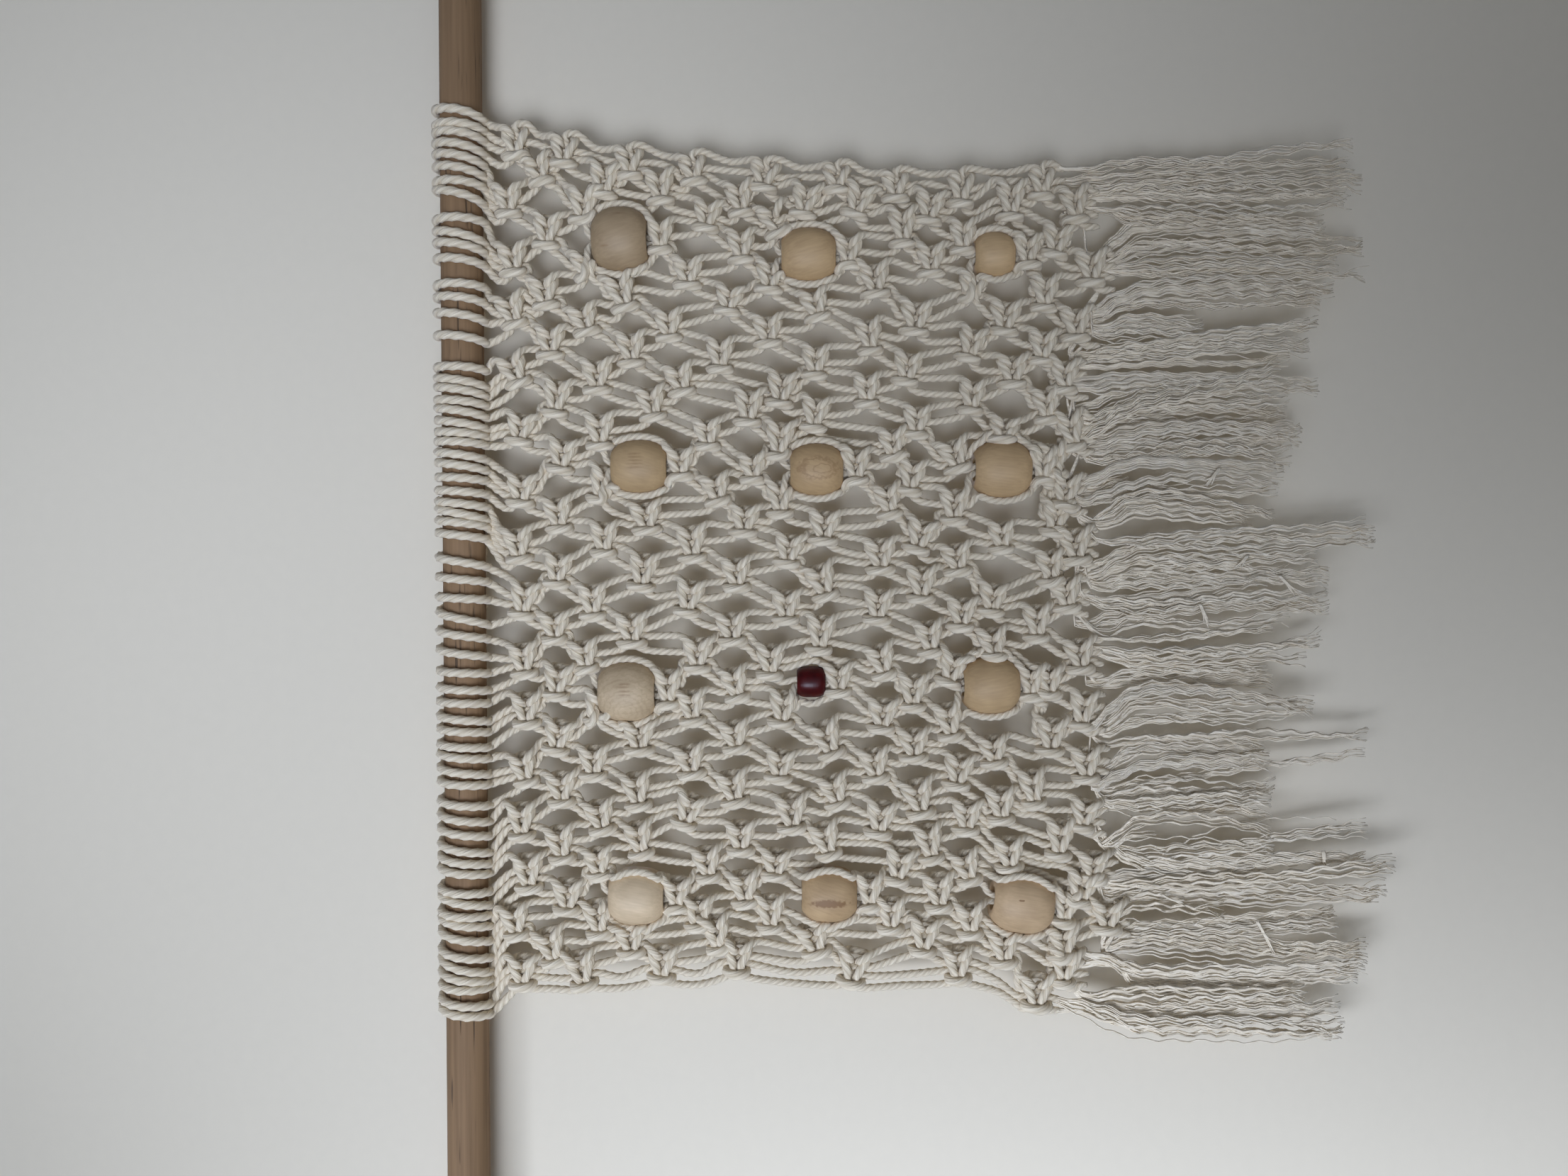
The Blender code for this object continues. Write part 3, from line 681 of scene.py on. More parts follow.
def relax(paths):
    """Push overlapping cords apart, keep them off the rod and the beads, and smooth them."""
    sizes = [len(path) for path in paths]
    starts = np.concatenate(([0], np.cumsum(sizes)))
    joined = np.vstack(paths)
    points = joined[:, :3].copy()
    home = points.copy()
    owner = np.repeat(np.arange(len(paths)), sizes)
    inside = np.ones(len(points), bool)
    inside[starts[:-1]] = inside[starts[1:] - 1] = False
    free = np.flatnonzero(inside)
    for turn in range(RELAX_ROUNDS):
        if turn % LOOK_EVERY == 0:
            pairs = close_pairs(points, TIGHT * 1.5)
            apart = (owner[pairs[:, 0]] != owner[pairs[:, 1]])
            apart |= np.abs(pairs[:, 0] - pairs[:, 1]) > 4.5 * TIGHT / RELAX_STEP
            pairs = pairs[apart]
        way = points[pairs[:, 0]] - points[pairs[:, 1]]
        gap = np.linalg.norm(way, axis=1) + 1e-9
        push = way / gap[:, None] * np.clip(TIGHT - gap, 0, None)[:, None] * PUSH
        shift = np.zeros_like(points)
        np.add.at(shift, pairs[:, 0], push)
        np.add.at(shift, pairs[:, 1], -push)
        reach = np.linalg.norm(shift, axis=1)
        points += shift * np.minimum(1, LONGEST_PUSH / (reach + 1e-9))[:, None]
        keep_off(points)
        mean = (points[free - 1] + points[free + 1]) / 2
        points[free] += (mean - points[free]) * STIFFNESS
        points += (home - points) * HOLD
    joined[:, :3] = points
    return [joined[a:b] for a, b in zip(starts, starts[1:])]


print("cords can be let go")

# %% Pull the cords tight
for cord in range(CORDS):
    side = (-1, -0.35, 0.35, 1)[last_knot[cord]]
    add_stop(cord, last_spot[cord] + np.array([side * 6.2, 0, -7.0]) * MM, 1.0)
    add_stop(cord, last_spot[cord] + np.array([side * 6.6, 0, -10.0]) * MM, 0.4)
cord_paths = relax([smooth_walk(route, RELAX_STEP) for route in routes])
total = sum(len(path) for path in cord_paths) * RELAX_STEP
print(f"{total:.1f} m of cord between the folds and the fringe")

# %% [markdown]
# ## Spin the cord
#
# Three separate plies wound around each other would be the truest cord, but there are 36 m of
# it, and one tube with three ridges takes far fewer triangles. A ring of nine points follows
# each path: three plies, three points to a ply. The plies turn by one point at each ring, and
# the triangles are cut along them, so that every ply keeps a clean ridge. Where a knot flattens
# the cord, it is fatter and its twist opens.

# %% Two directions across a cord, all along it
def frames_along(path, turn):
    """Two unit vectors across a path at each of its points, turned by a growing angle."""
    ahead = np.gradient(path, axis=0)
    ahead /= np.linalg.norm(ahead, axis=1)[:, None] + 1e-12
    side = np.zeros_like(path)
    start = np.cross(ahead[0], (0, 1, 0))
    if np.linalg.norm(start) < 0.1:
        start = np.cross(ahead[0], (1, 0, 0))
    side[0] = start / np.linalg.norm(start)
    for i in range(1, len(path)):
        vector = side[i - 1] - ahead[i] * side[i - 1].dot(ahead[i])
        side[i] = vector / np.linalg.norm(vector)
    other = np.cross(ahead, side)
    cos, sin = np.cos(turn)[:, None], np.sin(turn)[:, None]
    return side * cos + other * sin, other * cos - side * sin


print("directions can be carried along a cord")

# %% One tube
SIDES = 9
OPENED = 24                   # degrees that a flattened cord untwists at each ring
PLY_DEPTH = 0.13              # how deep the grooves between the plies are


def tube(path, radius, sides, ridge, offset):
    """The points, triangles and UVs of one tube, with its ends closed."""
    rings = len(path)
    fatness = radius / CORD_RADIUS
    opened = np.clip((fatness - 1.0) / 0.25, 0, 1) if ridge else np.zeros(rings)
    side, other = frames_along(path, np.cumsum(opened) * math.radians(OPENED))
    angle = 2 * math.pi * np.arange(sides) / sides
    phase = (np.arange(sides)[None, :] + np.arange(rings)[:, None]) * (2 * math.pi / 3)
    reach = radius[:, None] * (1 + ridge * np.cos(phase))
    points = (path[:, None] + side[:, None] * (np.cos(angle)[None, :] * reach)[..., None]
              + other[:, None] * (np.sin(angle)[None, :] * reach)[..., None])
    row, column = np.meshgrid(np.arange(rings - 1), np.arange(sides), indexing="ij")
    row, column = row.ravel(), column.ravel()
    following = (column + 1) % sides
    a, b = row * sides + column, row * sides + following
    c, d = a + sides, b + sides
    # Ply ridges go from point b of one ring to point c of the next.
    faces = np.vstack((np.column_stack((a, b, c)), np.column_stack((b, d, c))))
    u0, u1 = column / sides, (column + 1) / sides
    v0, v1 = row * STEP, (row + 1) * STEP
    upper = np.stack((np.column_stack((u0, v0)), np.column_stack((u1, v0)),
                      np.column_stack((u0, v1))), axis=1)
    lower = np.stack((np.column_stack((u1, v0)), np.column_stack((u1, v1)),
                      np.column_stack((u0, v1))), axis=1)
    caps, cap_uvs = [], []
    last = (rings - 1) * sides
    for i in range(1, sides - 1):
        caps += [(0, i + 1, i), (last, last + i, last + i + 1)]
        cap_uvs += [[(0.5, 0.0)] * 3, [(0.5, rings * STEP)] * 3]
    faces = np.vstack((faces, np.array(caps))) + offset
    return points.reshape(-1, 3), faces, np.concatenate((upper, lower, np.array(cap_uvs)))


print("tubes have", SIDES, "sides")


# %% Many tubes in one mesh
def make_cords(name, paths, radii, material, sides=SIDES, ridge=PLY_DEPTH):
    """One smooth-shaded mesh of many tubes, each with its UV map along it."""
    parts, offset = [], 0
    for path, radius in zip(paths, radii):
        parts.append(tube(path, radius, sides, ridge, offset))
        offset += len(parts[-1][0])
    points, faces, uvs = (np.concatenate([part[i] for part in parts]) for i in range(3))
    mesh = bpy.data.meshes.new(name)
    mesh.from_pydata(points, [], faces.tolist())
    layer = mesh.uv_layers.new(name="UVMap")
    layer.data.foreach_set("uv", uvs.reshape(-1))
    mesh.shade_smooth()
    mesh.materials.append(material)
    piece = bpy.data.objects.new(name, mesh)
    bpy.context.collection.objects.link(piece)
    print(f"{name}: {len(paths)} tubes, {len(faces)} triangles")
    return piece


print("tubes can be gathered in a piece")

# %% Spin the net in eight pieces, one under each heading
GROUPS = 8
IN_GROUP = CORDS // GROUPS
for group in range(GROUPS):
    paths = [resample(path, STEP) for path in cord_paths[group * IN_GROUP:(group + 1) * IN_GROUP]]
    radii = [path[:, 3] * CORD_RADIUS for path in paths]
    piece = make_cords(f"cords_{group + 1}", [path[:, :3] for path in paths], radii, cotton)
    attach(piece, "root")
    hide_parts(f"heading_{group + 1}", "net")

# %% [markdown]
# ## The rod
#
# A plain dowel. Its grain runs lengthwise, with short dark pores and a few fine cracks. A
# picture of wood could be wrapped around it, but noise that is stretched along the rod has no
# seam and needs no file. The shape is a cylinder with its sharp end edges worn off.

# %% The rod's wood
RODS_WOOD = ((0.165, 0.096, 0.046), (0.305, 0.187, 0.095))
PORE_BROWN = (0.03, 0.02, 0.014)


def make_rod_wood():
    finish = Finish("rod_wood", Roughness=0.75, Specular_IOR_Level=0.3)
    here = finish.place()
    grain = finish.noise(finish.stretch(here, (6, 260, 260)), 2.0, detail=5.0, roughness=0.6)
    broad = finish.noise(finish.stretch(here, (4, 40, 40)), 1.5)
    pores = finish.noise(finish.stretch(here, (45, 1100, 1100)), 1.0, detail=1.0)
    slit = ((pores - 0.66) * 9).clamp()
    tone = ((grain - 0.5) * 1.5 + (broad - 0.5) * 0.9 + 0.5).clamp()
    colour = finish.mix(tone, *RODS_WOOD)
    colour = finish.mix(slit * 0.7, colour, PORE_BROWN)
    relief = finish.bump(grain * 0.4 - slit, 0.25 * MM)
    return finish.wear(Base_Color=colour, Normal=relief)


rod_wood = make_rod_wood()

# %% Turn the rod
ROD_LENGTH = 500 * MM
WORN_EDGE = 0.5 * MM


def start_fresh():
    bpy.ops.object.select_all(action="DESELECT")


def finish_piece(piece, name, node, material):
    """Put a piece's place in its mesh, name it, give it its material and hide the solid it
    replaces.
    """
    start_fresh()
    piece.select_set(True)
    bpy.context.view_layer.objects.active = piece
    bpy.ops.object.transform_apply(location=True, rotation=True, scale=True)
    piece.name = piece.data.name = name
    piece.data.materials.clear()
    piece.data.materials.append(material)
    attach(piece, "root")
    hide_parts(node)
    print(f"{name}: {len(piece.data.polygons)} faces")


start_fresh()
bpy.ops.mesh.primitive_cylinder_add(vertices=64, radius=ROD_RADIUS, depth=ROD_LENGTH,
                                    rotation=(0, math.pi / 2, 0))
rod = bpy.context.object
edge = rod.modifiers.new("worn edge", "BEVEL")
edge.width, edge.segments, edge.limit_method = WORN_EDGE, 2, "ANGLE"
bpy.ops.object.modifier_apply(modifier=edge.name)
bpy.ops.object.shade_smooth_by_angle(angle=math.radians(30))
finish_piece(rod, "dowel", "rod", rod_wood)

# %% [markdown]
# ### The beads' wood
#
# Turned beads show the rings of the wood as broad bands where they are cut across, and as
# fine lines along the sides. Some beads have a mark of their own: a brown slash, a small knot
# like an eye, rings, or a row of short dashes. Painted pictures could carry them, but a mark is
# only a soft ellipse, which a few sums draw. A table gives each mark's kind, its distances below
# and left of the bead's middle, and its half length and half width in millimetres.

# %% The tones of the wood, and the marks
BEAD_WOOD = ((0.296, 0.20, 0.103), (0.497, 0.355, 0.198))
MARK_BROWN = (0.25, 0.135, 0.058)
MARKS = {"bead_2_1": (("patch", -0.6, 1.2, 7.2, 1.7),),
         "bead_2_3": (("ring", 2.0, 0.4, 3.0, 1.5), ("ring", 0.6, 0.2, 6.2, 3.6)),
         "bead_1_2": (("rings", 0.0, 7.0, 2.7, 2.7), ("dash", 0.3, -3.4, 2.4, 0.4),
                      ("dash", -0.4, -2.3, 2.8, 0.4), ("dash", 0.4, -0.8, 2.6, 0.4),
                      ("dash", 0.1, 0.4, 2.0, 0.4)),
         "bead_1_3": (("dash", -0.9, -3.9, 2.6, 0.5), ("dash", -0.7, -2.6, 3.2, 0.45),
                      ("dash", -0.9, -1.4, 3.0, 0.45), ("dash", -0.6, -0.2, 3.2, 0.4),
                      ("dash", -0.9, 1.1, 3.2, 0.5)),
         "bead_1_4": (("dash", 0.5, -7.2, 3.0, 0.4), ("dash", -4.6, 4.6, 1.6, 0.4)),
         "bead_3_1": (("patch", -1.9, -3.2, 1.3, 0.4),)}
MARK_STRENGTH = {"patch": 0.95, "ring": 0.5, "rings": 0.17, "dash": 0.5}
# Some beads are paler, greyer or yellower than the rest. A tint was set from how the average
# colour of a bead's middle differed between the photograph and a trial render.
TINTS = {"bead_1_1": (1.6, 1.72, 1.95), "bead_1_2": (1.4, 1.5, 1.68),
         "bead_1_3": (1.05, 1.0, 0.91), "bead_1_4": (1.0, 1.01, 1.05),
         "bead_2_1": (1.22, 1.16, 1.1), "bead_2_3": (1.2, 1.13, 1.02),
         "bead_3_1": (1.31, 1.28, 1.3), "bead_3_2": (1.14, 1.08, 0.99)}
USUAL_TINT = (1.33, 1.27, 1.18)
print(len(MARKS), "beads have marks")


# %% Pale wood with marks, and a red gloss
def mark_on(finish, bead, kind, low, left, length, width):
    """How strongly a mark shows at each place on the front of a bead."""
    x, y, z = finish.split(finish.node("ShaderNodeVectorMath", {"operation": "SUBTRACT"},
                                       {0: finish.place(), 1: tuple(bead.place)}))
    rough = (finish.noise(finish.place(), 700.0) - 0.5) * 1.1
    along, beside = (z / MM + low) / length, (x / MM + left) / width
    far = (along * along + beside * beside) ** 0.5 + rough
    shape = {"patch": (1 - far) * 3, "ring": 1 - (far - 1).abs() * 4, "dash": 1.2 - far,
             "rings": (far * 9).sin()}[kind]
    return shape.clamp() * (y * -2000).clamp() * MARK_STRENGTH[kind]


def make_bead_wood(bead, seed):
    finish = Finish(f"bead_wood_{seed}", Roughness=0.55, Specular_IOR_Level=0.35)
    here = finish.stretch(finish.place(), (1, 1, 1), (0.0, 0.35 * math.sin(seed), 0.0))
    rings = finish.noise(finish.stretch(here, (230, 230, 30)), 1.0, detail=3.0)
    fine = finish.noise(finish.stretch(here, (1500, 900, 130)), 1.0, detail=2.0)
    stain = finish.noise(here, 70.0 + 5 * seed)
    tone = ((rings - 0.5) * 0.8 + (fine - 0.5) * 0.6 + (stain - 0.5) * 0.8 + 0.6
            + 0.12 * math.sin(5 * seed)).clamp()
    tint = np.array(TINTS.get(bead.name, USUAL_TINT))
    colour = finish.mix(tone, *(tint * shade for shade in BEAD_WOOD))
    for mark in MARKS.get(bead.name, ()):
        colour = finish.mix(mark_on(finish, bead, *mark), colour, MARK_BROWN)
    return finish.wear(Base_Color=colour, Normal=finish.bump(fine, 0.06 * MM))


RED_GLOSS = ((0.03, 0.002, 0.002), (0.12, 0.006, 0.006))


def make_red_gloss():
    finish = Finish("red_gloss", Roughness=0.35, Specular_IOR_Level=0.2, Coat_Weight=0.08,
                    Coat_Roughness=0.08)
    blotch = finish.noise(finish.place(), 350.0, detail=3.0)
    colour = finish.mix((blotch - 0.2).clamp(), *RED_GLOSS)
    return finish.wear(Base_Color=colour, Normal=finish.bump(blotch, 0.08 * MM))


print("bead finishes can be made")

# %% [markdown]
# ### Turn the beads
#
# A bead is a barrel with flat ends and a hole right through. A ball could be cut and drilled, but
# a real bead comes off a lathe, and the spin tool is Blender's lathe: it sweeps an outline around
# an axis. The outline goes down the outside and back up through the hole.

# %% A bead's outline
BORE = 0.2                    # the hole's radius against the bead's diameter
OUTLINE_STEPS = 14
CUT = 0.56                    # the ends are cut off where the full curve isn't closed yet


def bead_outline(bead):
    """Radius and height along a bead's outside, and back up through its bore."""
    half = bead.length / 2
    points = []
    for i in range(OUTLINE_STEPS + 1):
        height = half * math.cos(math.pi * i / OUTLINE_STEPS)
        share = abs(height) / (CUT * bead.length)
        points.append((bead.diameter / 2 * (1 - share ** bead.bulge) ** (1 / bead.bulge), height))
    bore = BORE * bead.diameter
    return points + [(bore, -half * 0.97), (bore * 0.94, -half * 0.6), (bore * 0.94, half * 0.6),
                     (bore, half * 0.97)]


print(len(bead_outline(beads[1, 2])), "points in an outline")

# %% Turn the beads
LATHE_STEPS = 40
SAME_PLACE = 0.02 * MM


def turn_bead(bead):
    """Spin a bead's outline around its axis, close the seam, and put the bead in its place."""
    outline = bead_outline(bead)
    edges = [(i, (i + 1) % len(outline)) for i in range(len(outline))]
    mesh = bpy.data.meshes.new(bead.name)
    mesh.from_pydata([(radius, 0, height) for radius, height in outline], edges, [])
    piece = bpy.data.objects.new(bead.name, mesh)
    bpy.context.collection.objects.link(piece)
    start_fresh()
    piece.select_set(True)
    bpy.context.view_layer.objects.active = piece
    bpy.ops.object.mode_set(mode="EDIT")
    bpy.ops.mesh.select_all(action="SELECT")
    bpy.ops.mesh.spin(steps=LATHE_STEPS, angle=2 * math.pi, center=(0, 0, 0), axis=(0, 0, 1))
    bpy.ops.mesh.select_all(action="SELECT")
    bpy.ops.mesh.remove_doubles(threshold=SAME_PLACE)
    bpy.ops.mesh.normals_make_consistent(inside=False)
    bpy.ops.object.mode_set(mode="OBJECT")
    bpy.ops.object.shade_smooth_by_angle(angle=math.radians(50))
    piece.matrix_world = Matrix.Translation(bead.place) @ Matrix(bead.turn.tolist()).to_4x4()
    return piece


for number, bead in enumerate(beads.values(), start=1):
    if bead.name == "bead_2_2":
        name, slot, material = "red_bead", "red_gloss", make_red_gloss()
    else:
        name, slot, material = f"wooden_{bead.name}", "bead_wood", make_bead_wood(bead, number)
    finish_piece(turn_bead(bead), name, bead.name, material)

# %% [markdown]
# ## Comb out the fringe
#
# Right below its last knot each cord falls apart into yarns as thin as sewing thread. They keep
# the waves of the twist that they lost, and cling together in flat locks. Blender's hair could
# make them, but each lock has its own way and its own length, so thin three-sided tubes are
# laid lock by lock. The table follows each lock: where it leaves the net, where it is at
# two lines further down, its tip, and its width. A lock starts inside the nearest cord's end.

# %% The locks: root x, root y, y at x 1600, y at x 1720, tip x, tip y, width, all in pixels
LOCKS = (
    (1468, 240, 231, 223, 1912, 203, 11), (1485, 255, 243, 238, 1905, 228, 20),
    (1512, 276, 259, 257, 1925, 250, 22), (1525, 284, 276, 274, 1902, 272, 20),
    (1530, 293, 294, 293, 1915, 287, 9), (1545, 296, 309, 307, 1872, 312, 15),
    (1530, 367, 321, 325, 1870, 328, 28), (1550, 374, 352, 346, 1928, 350, 26),
    (1552, 380, 374, 371, 1892, 370, 24), (1555, 385, 387, 386, 1930, 391, 10),
    (1520, 448, 411, 404, 1885, 408, 26), (1522, 452, 427, 424, 1868, 424, 22),
    (1535, 468, 459, 463, 1705, 463, 30), (1500, 500, 491, 474, 1862, 455, 22),
    (1495, 505, 501, 490, 1855, 486, 30), (1495, 509, 512, 512, 1830, 508, 14),
    (1480, 540, 533, 537, 1865, 542, 24), (1497, 575, 551, 549, 1680, 553, 15),
    (1500, 622, 577, 543, 1814, 520, 26), (1515, 590, 574, 566, 1825, 562, 24),
    (1520, 600, 592, 585, 1822, 583, 26), (1500, 630, 612, 603, 1845, 606, 26),
    (1510, 640, 626, 624, 1842, 622, 18), (1525, 648, 643, 637, 1828, 652, 16),
    (1495, 690, 655, 655, 1818, 667, 20), (1498, 693, 674, 672, 1600, 674, 12),
    (1510, 704, 685, 671, 1812, 682, 14), (1510, 707, 698, 697, 1812, 694, 16),
    (1520, 740, 702, 712, 1800, 726, 18), (1548, 742, 722, 728, 1770, 735, 24),
    (1535, 760, 763, 750, 1948, 739, 10), (1510, 812, 774, 767, 1945, 758, 26),
    (1512, 814, 789, 788, 1860, 787, 18), (1530, 822, 802, 797, 1825, 810, 18),
    (1532, 826, 818, 815, 1875, 812, 24), (1520, 842, 850, 829, 1790, 818, 18),
    (1550, 850, 855, 846, 1880, 841, 18), (1510, 880, 864, 853, 1878, 858, 20),
    (1550, 896, 878, 881, 1820, 868, 16), (1550, 901, 903, 890, 1802, 889, 12),
    (1530, 915, 925, 920, 1868, 905, 20), (1532, 920, 937, 928, 1848, 932, 16),
    (1525, 964, 945, 942, 1796, 945, 16), (1545, 966, 955, 955, 1798, 962, 26),
    (1525, 1028, 976, 975, 1858, 1003, 16), (1545, 1030, 995, 997, 1855, 997, 24),
    (1550, 1036, 1020, 1008, 1745, 1004, 16), (1545, 1048, 1043, 1036, 1938, 1038, 14),
    (1530, 1104, 1057, 1053, 1790, 1060, 24), (1532, 1108, 1083, 1073, 1795, 1066, 22),
    (1545, 1116, 1104, 1090, 1928, 1062, 9), (1545, 1124, 1117, 1116, 1802, 1105, 22),
    (1546, 1130, 1136, 1124, 1800, 1127, 22), (1546, 1133, 1140, 1139, 1800, 1158, 14),
    (1545, 1190, 1160, 1158, 1796, 1172, 13), (1550, 1195, 1176, 1178, 1640, 1181, 12),
    (1558, 1192, 1199, 1198, 1800, 1196, 20), (1560, 1196, 1214, 1216, 1935, 1208, 22),
    (1540, 1255, 1250, 1196, 1935, 1165, 16), (1545, 1235, 1235, 1234, 1805, 1209, 18),
    (1545, 1246, 1248, 1243, 1972, 1222, 22), (1550, 1268, 1262, 1254, 1960, 1254, 16),
    (1560, 1272, 1269, 1266, 1950, 1269, 16), (1565, 1294, 1279, 1289, 1735, 1293, 14),
    (1545, 1334, 1306, 1300, 1888, 1285, 18), (1545, 1337, 1321, 1316, 1888, 1305, 24),
    (1550, 1339, 1331, 1334, 1932, 1340, 24), (1560, 1355, 1370, 1370, 1932, 1362, 24),
    (1565, 1358, 1386, 1388, 1920, 1374, 20), (1515, 1400, 1396, 1402, 1850, 1396, 18),
    (1520, 1410, 1414, 1412, 1850, 1411, 20), (1525, 1416, 1430, 1430, 1892, 1420, 26),
    (1530, 1424, 1442, 1443, 1898, 1450, 24), (1532, 1428, 1449, 1452, 1895, 1462, 14))
print(len(LOCKS), "locks")

# %% Comb out one lock
YARN_RADIUS = 0.33 * MM
YARN_STEP = 2.8 * MM
YARN_SIDES = 3
YARNS_PER_PIXEL = 1.05        # of a lock's width
WAVE_LENGTH = 10.2 * MM
IN_STRAND = 6                 # yarns that wave together
NET_END = 1500                # where the net gives way to the fringe
BENDS = (1600, 1720)          # the two lines at which the table gives a lock's y


def lock_middle(lock, start):
    """The line that a lock follows from inside its cord's end to its tip."""
    root_px, root_py, upper_py, lower_py, tip_px, tip_py, _ = lock
    depth = rng.normal(-1.0, 1.3) * MM
    stops = [start, spot(max(root_px, NET_END) + 8, root_py, start[1] * 0.5 + depth * 0.5)]
    for px, py in zip(BENDS, (upper_py, lower_py)):
        if px < tip_px - 25:
            stops.append(spot(px, py, depth))
    stops.append(spot(tip_px, tip_py, depth + rng.normal(0, 1.0) * MM))
    return smooth_walk(stops, YARN_STEP)


def comb_out(lock, start):
    """The yarns of one lock, in strands that wave together."""
    middle = lock_middle(lock, start)
    width = lock[-1] * PIXEL
    count = max(5, round(lock[-1] * YARNS_PER_PIXEL))
    strands = max(1, round(count / IN_STRAND))
    down = np.arange(len(middle)) * YARN_STEP
    opened = np.clip(down / (22 * MM), 0, 1) ** 0.7
    wave_length = WAVE_LENGTH * rng.normal(1, 0.06)
    phase = rng.uniform(0, 2 * math.pi)
    yarns = []
    for number in range(count):
        strand = number * strands // count
        if number == 0 or strand != (number - 1) * strands // count:
            place = ((strand + 0.5) / strands - 0.5) * width * 0.8
            beat = phase + rng.uniform(-1.2, 1.2)
            swing = rng.uniform(0.42, 0.82) * MM
            drift = np.sin(down / (rng.uniform(9, 15) * MM) + rng.uniform(0, 6.3)) * 0.7 * MM
        angle, apart = rng.uniform(0, 2 * math.pi), rng.uniform(0.2, 0.9) * MM
        out, back = math.cos(angle) * apart, math.sin(angle) * apart * 0.8
        turn = 2 * math.pi * down / wave_length + beat + rng.normal(0, 0.27)
        stray = rng.normal(0, 2.4) * MM if rng.random() < 0.14 else 0
        bow = stray * np.sin(math.pi * down / down[-1])
        loose = np.clip((down - down[-1]) / (16 * MM) + 1, 0, 1) ** 2
        side = (place + out + drift + np.sin(turn) * swing + bow) * opened
        depth = (back + np.cos(turn) * swing * 0.6) * opened
        route = middle.copy()
        route[:, 0] += side + 0.6 * out * (1 - opened) + loose * rng.normal(0, 1.5) * MM
        route[:, 1] += depth + 0.6 * back * (1 - opened) + loose * rng.normal(0, 0.8) * MM
        shorter = int(min(rng.exponential(4), 18) * MM / YARN_STEP)
        yarns.append(route[:max(6, len(route) - shorter)])
    return yarns


print("a lock of 20 pixels has", round(20 * YARNS_PER_PIXEL), "yarns")

# %% Short ends that the comb has folded over: from x, from y, to x, to y
FOLDED_ENDS = ((1722, 660, 1704, 684), (1762, 783, 1748, 800), (1694, 852, 1706, 882),
               (1775, 1300, 1800, 1345), (1868, 1200, 1870, 1222), (1640, 1262, 1672, 1278),
               (1806, 812, 1830, 838))


def fold_end(px, py, end_px, end_py):
    """Five short yarns that fan out a little."""
    yarns = []
    for number in range(5):
        sway = rng.normal(0, 4, 2)
        stops = [spot(px + number * 0.8 - 3, py, -2.6 * MM),
                 spot((px + end_px) / 2 + number - 3, (py + end_py) / 2, -3.4 * MM),
                 spot(end_px + number * 1.4 - 4 + sway[0], end_py + sway[1], -3.0 * MM)]
        yarns.append(smooth_walk(stops, YARN_STEP / 3))
    return yarns


print(len(FOLDED_ENDS), "folded ends")

# %% Comb out the whole fringe
FRINGE_PIECES = 4
COMBED_LIGHT = (0.99, 0.885, 0.70)
COMBED_SHADE = (0.66, 0.555, 0.395)


def make_combed_cotton():
    finish = Finish("combed_cotton", Roughness=0.95, Sheen_Weight=0.2, Sheen_Roughness=0.5)
    streaks = finish.noise(finish.stretch(finish.place(), (1400, 1400, 60)), 1.0, detail=2.0)
    return finish.wear(Base_Color=finish.mix(((streaks - 0.3) * 2.2).clamp(), COMBED_SHADE,
                                             COMBED_LIGHT))


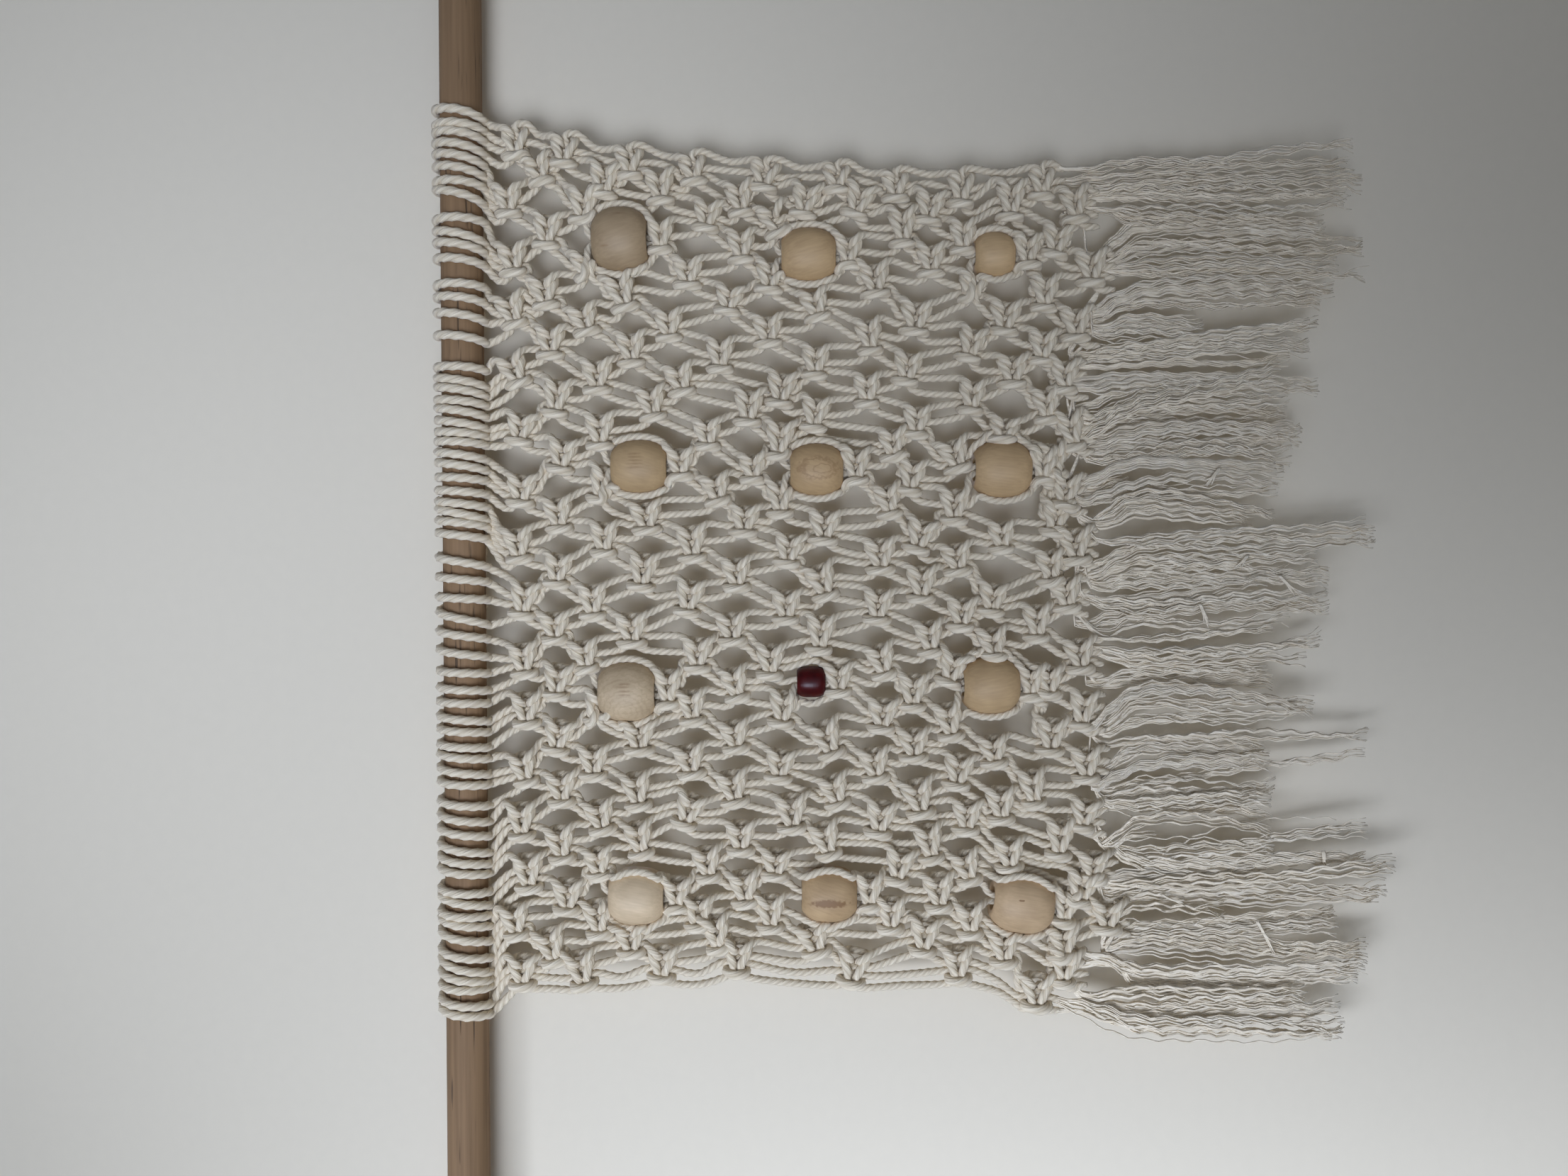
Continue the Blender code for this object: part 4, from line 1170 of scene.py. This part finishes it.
combed_cotton = make_combed_cotton()
ends = sorted(range(CORDS), key=lambda cord: -cord_paths[cord][-1, 0])
yarn_groups = [[] for _ in range(FRINGE_PIECES)]
for number, lock in enumerate(sorted(LOCKS, key=lambda lock: lock[1])):
    cord = ends[round(number * (CORDS - 1) / (len(LOCKS) - 1))]
    yarn_groups[number * FRINGE_PIECES // len(LOCKS)] += comb_out(lock, cord_paths[cord][-7, :3])
for fold in FOLDED_ENDS:
    middle = ends.index(min(ends, key=lambda cord: abs(cord_paths[cord][-1, 0]
                                                       - spot(fold[0], fold[1])[0])))
    yarn_groups[middle * FRINGE_PIECES // CORDS] += fold_end(*fold)
for number, yarns in enumerate(yarn_groups):
    radii = [YARN_RADIUS * (1 - 0.45 * np.linspace(0, 1, len(yarn)) ** 6) for yarn in yarns]
    piece = make_cords(f"fringe_{number + 1}", yarns, radii, combed_cotton, YARN_SIDES, 0.0)
    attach(piece, "root")
    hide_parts("fringe")

# %% [markdown]
# ## Backdrop and floor
#
# A pale board stands close behind the cloth. A coloured background could take its place, but
# it would catch none of the cloth's shadows. The board is painted on its front only and casts no
# shadow itself, so that the back of the hanging can be looked at too.

# %% Pale paper
def make_paper(name, colour, one_sided):
    finish = Finish(name, Roughness=0.9)
    here = finish.noise(finish.place(), 220.0, detail=2.0)
    shade = tuple(channel * 0.97 for channel in colour)
    material = finish.wear(Base_Color=finish.mix(here, shade, colour))
    if one_sided:
        behind = finish.node("ShaderNodeNewGeometry", {}, {}, "Backfacing")
        clear = finish.node("ShaderNodeBsdfTransparent")
        front = Value(finish, finish.shader.outputs[0])
        sheet = finish.node("ShaderNodeMixShader", {}, {0: behind, 1: front, 2: clear})
        finish.links.new(sheet.socket, finish.nodes["Material Output"].inputs["Surface"])
    return material


backdrop_paper = make_paper("backdrop_paper", (0.74, 0.66, 0.515), one_sided=True)
floor_paper = make_paper("floor_paper", (0.76, 0.68, 0.535), one_sided=False)

# %% The backdrop and the floor
BACKDROP_SIZE, BACKDROP_PLACE = 0.9, (0, 14 * MM, -0.12)
FLOOR_SIZE, FLOOR_PLACE = 6, (0, 0, -0.95)
start_fresh()
bpy.ops.mesh.primitive_plane_add(size=BACKDROP_SIZE, location=BACKDROP_PLACE,
                                 rotation=(math.pi / 2, 0, 0))
backdrop = bpy.context.object
backdrop.name = "backdrop"
backdrop.visible_shadow = False   # lets the back lamp through to the back of the hanging
backdrop.data.materials.append(backdrop_paper)
bpy.ops.mesh.primitive_plane_add(size=FLOOR_SIZE, location=FLOOR_PLACE)
floor = bpy.context.object
floor.name = "floor"
floor.data.materials.append(floor_paper)
print("the backdrop stands", BACKDROP_PLACE[1] / MM, "mm behind the rod's axis")
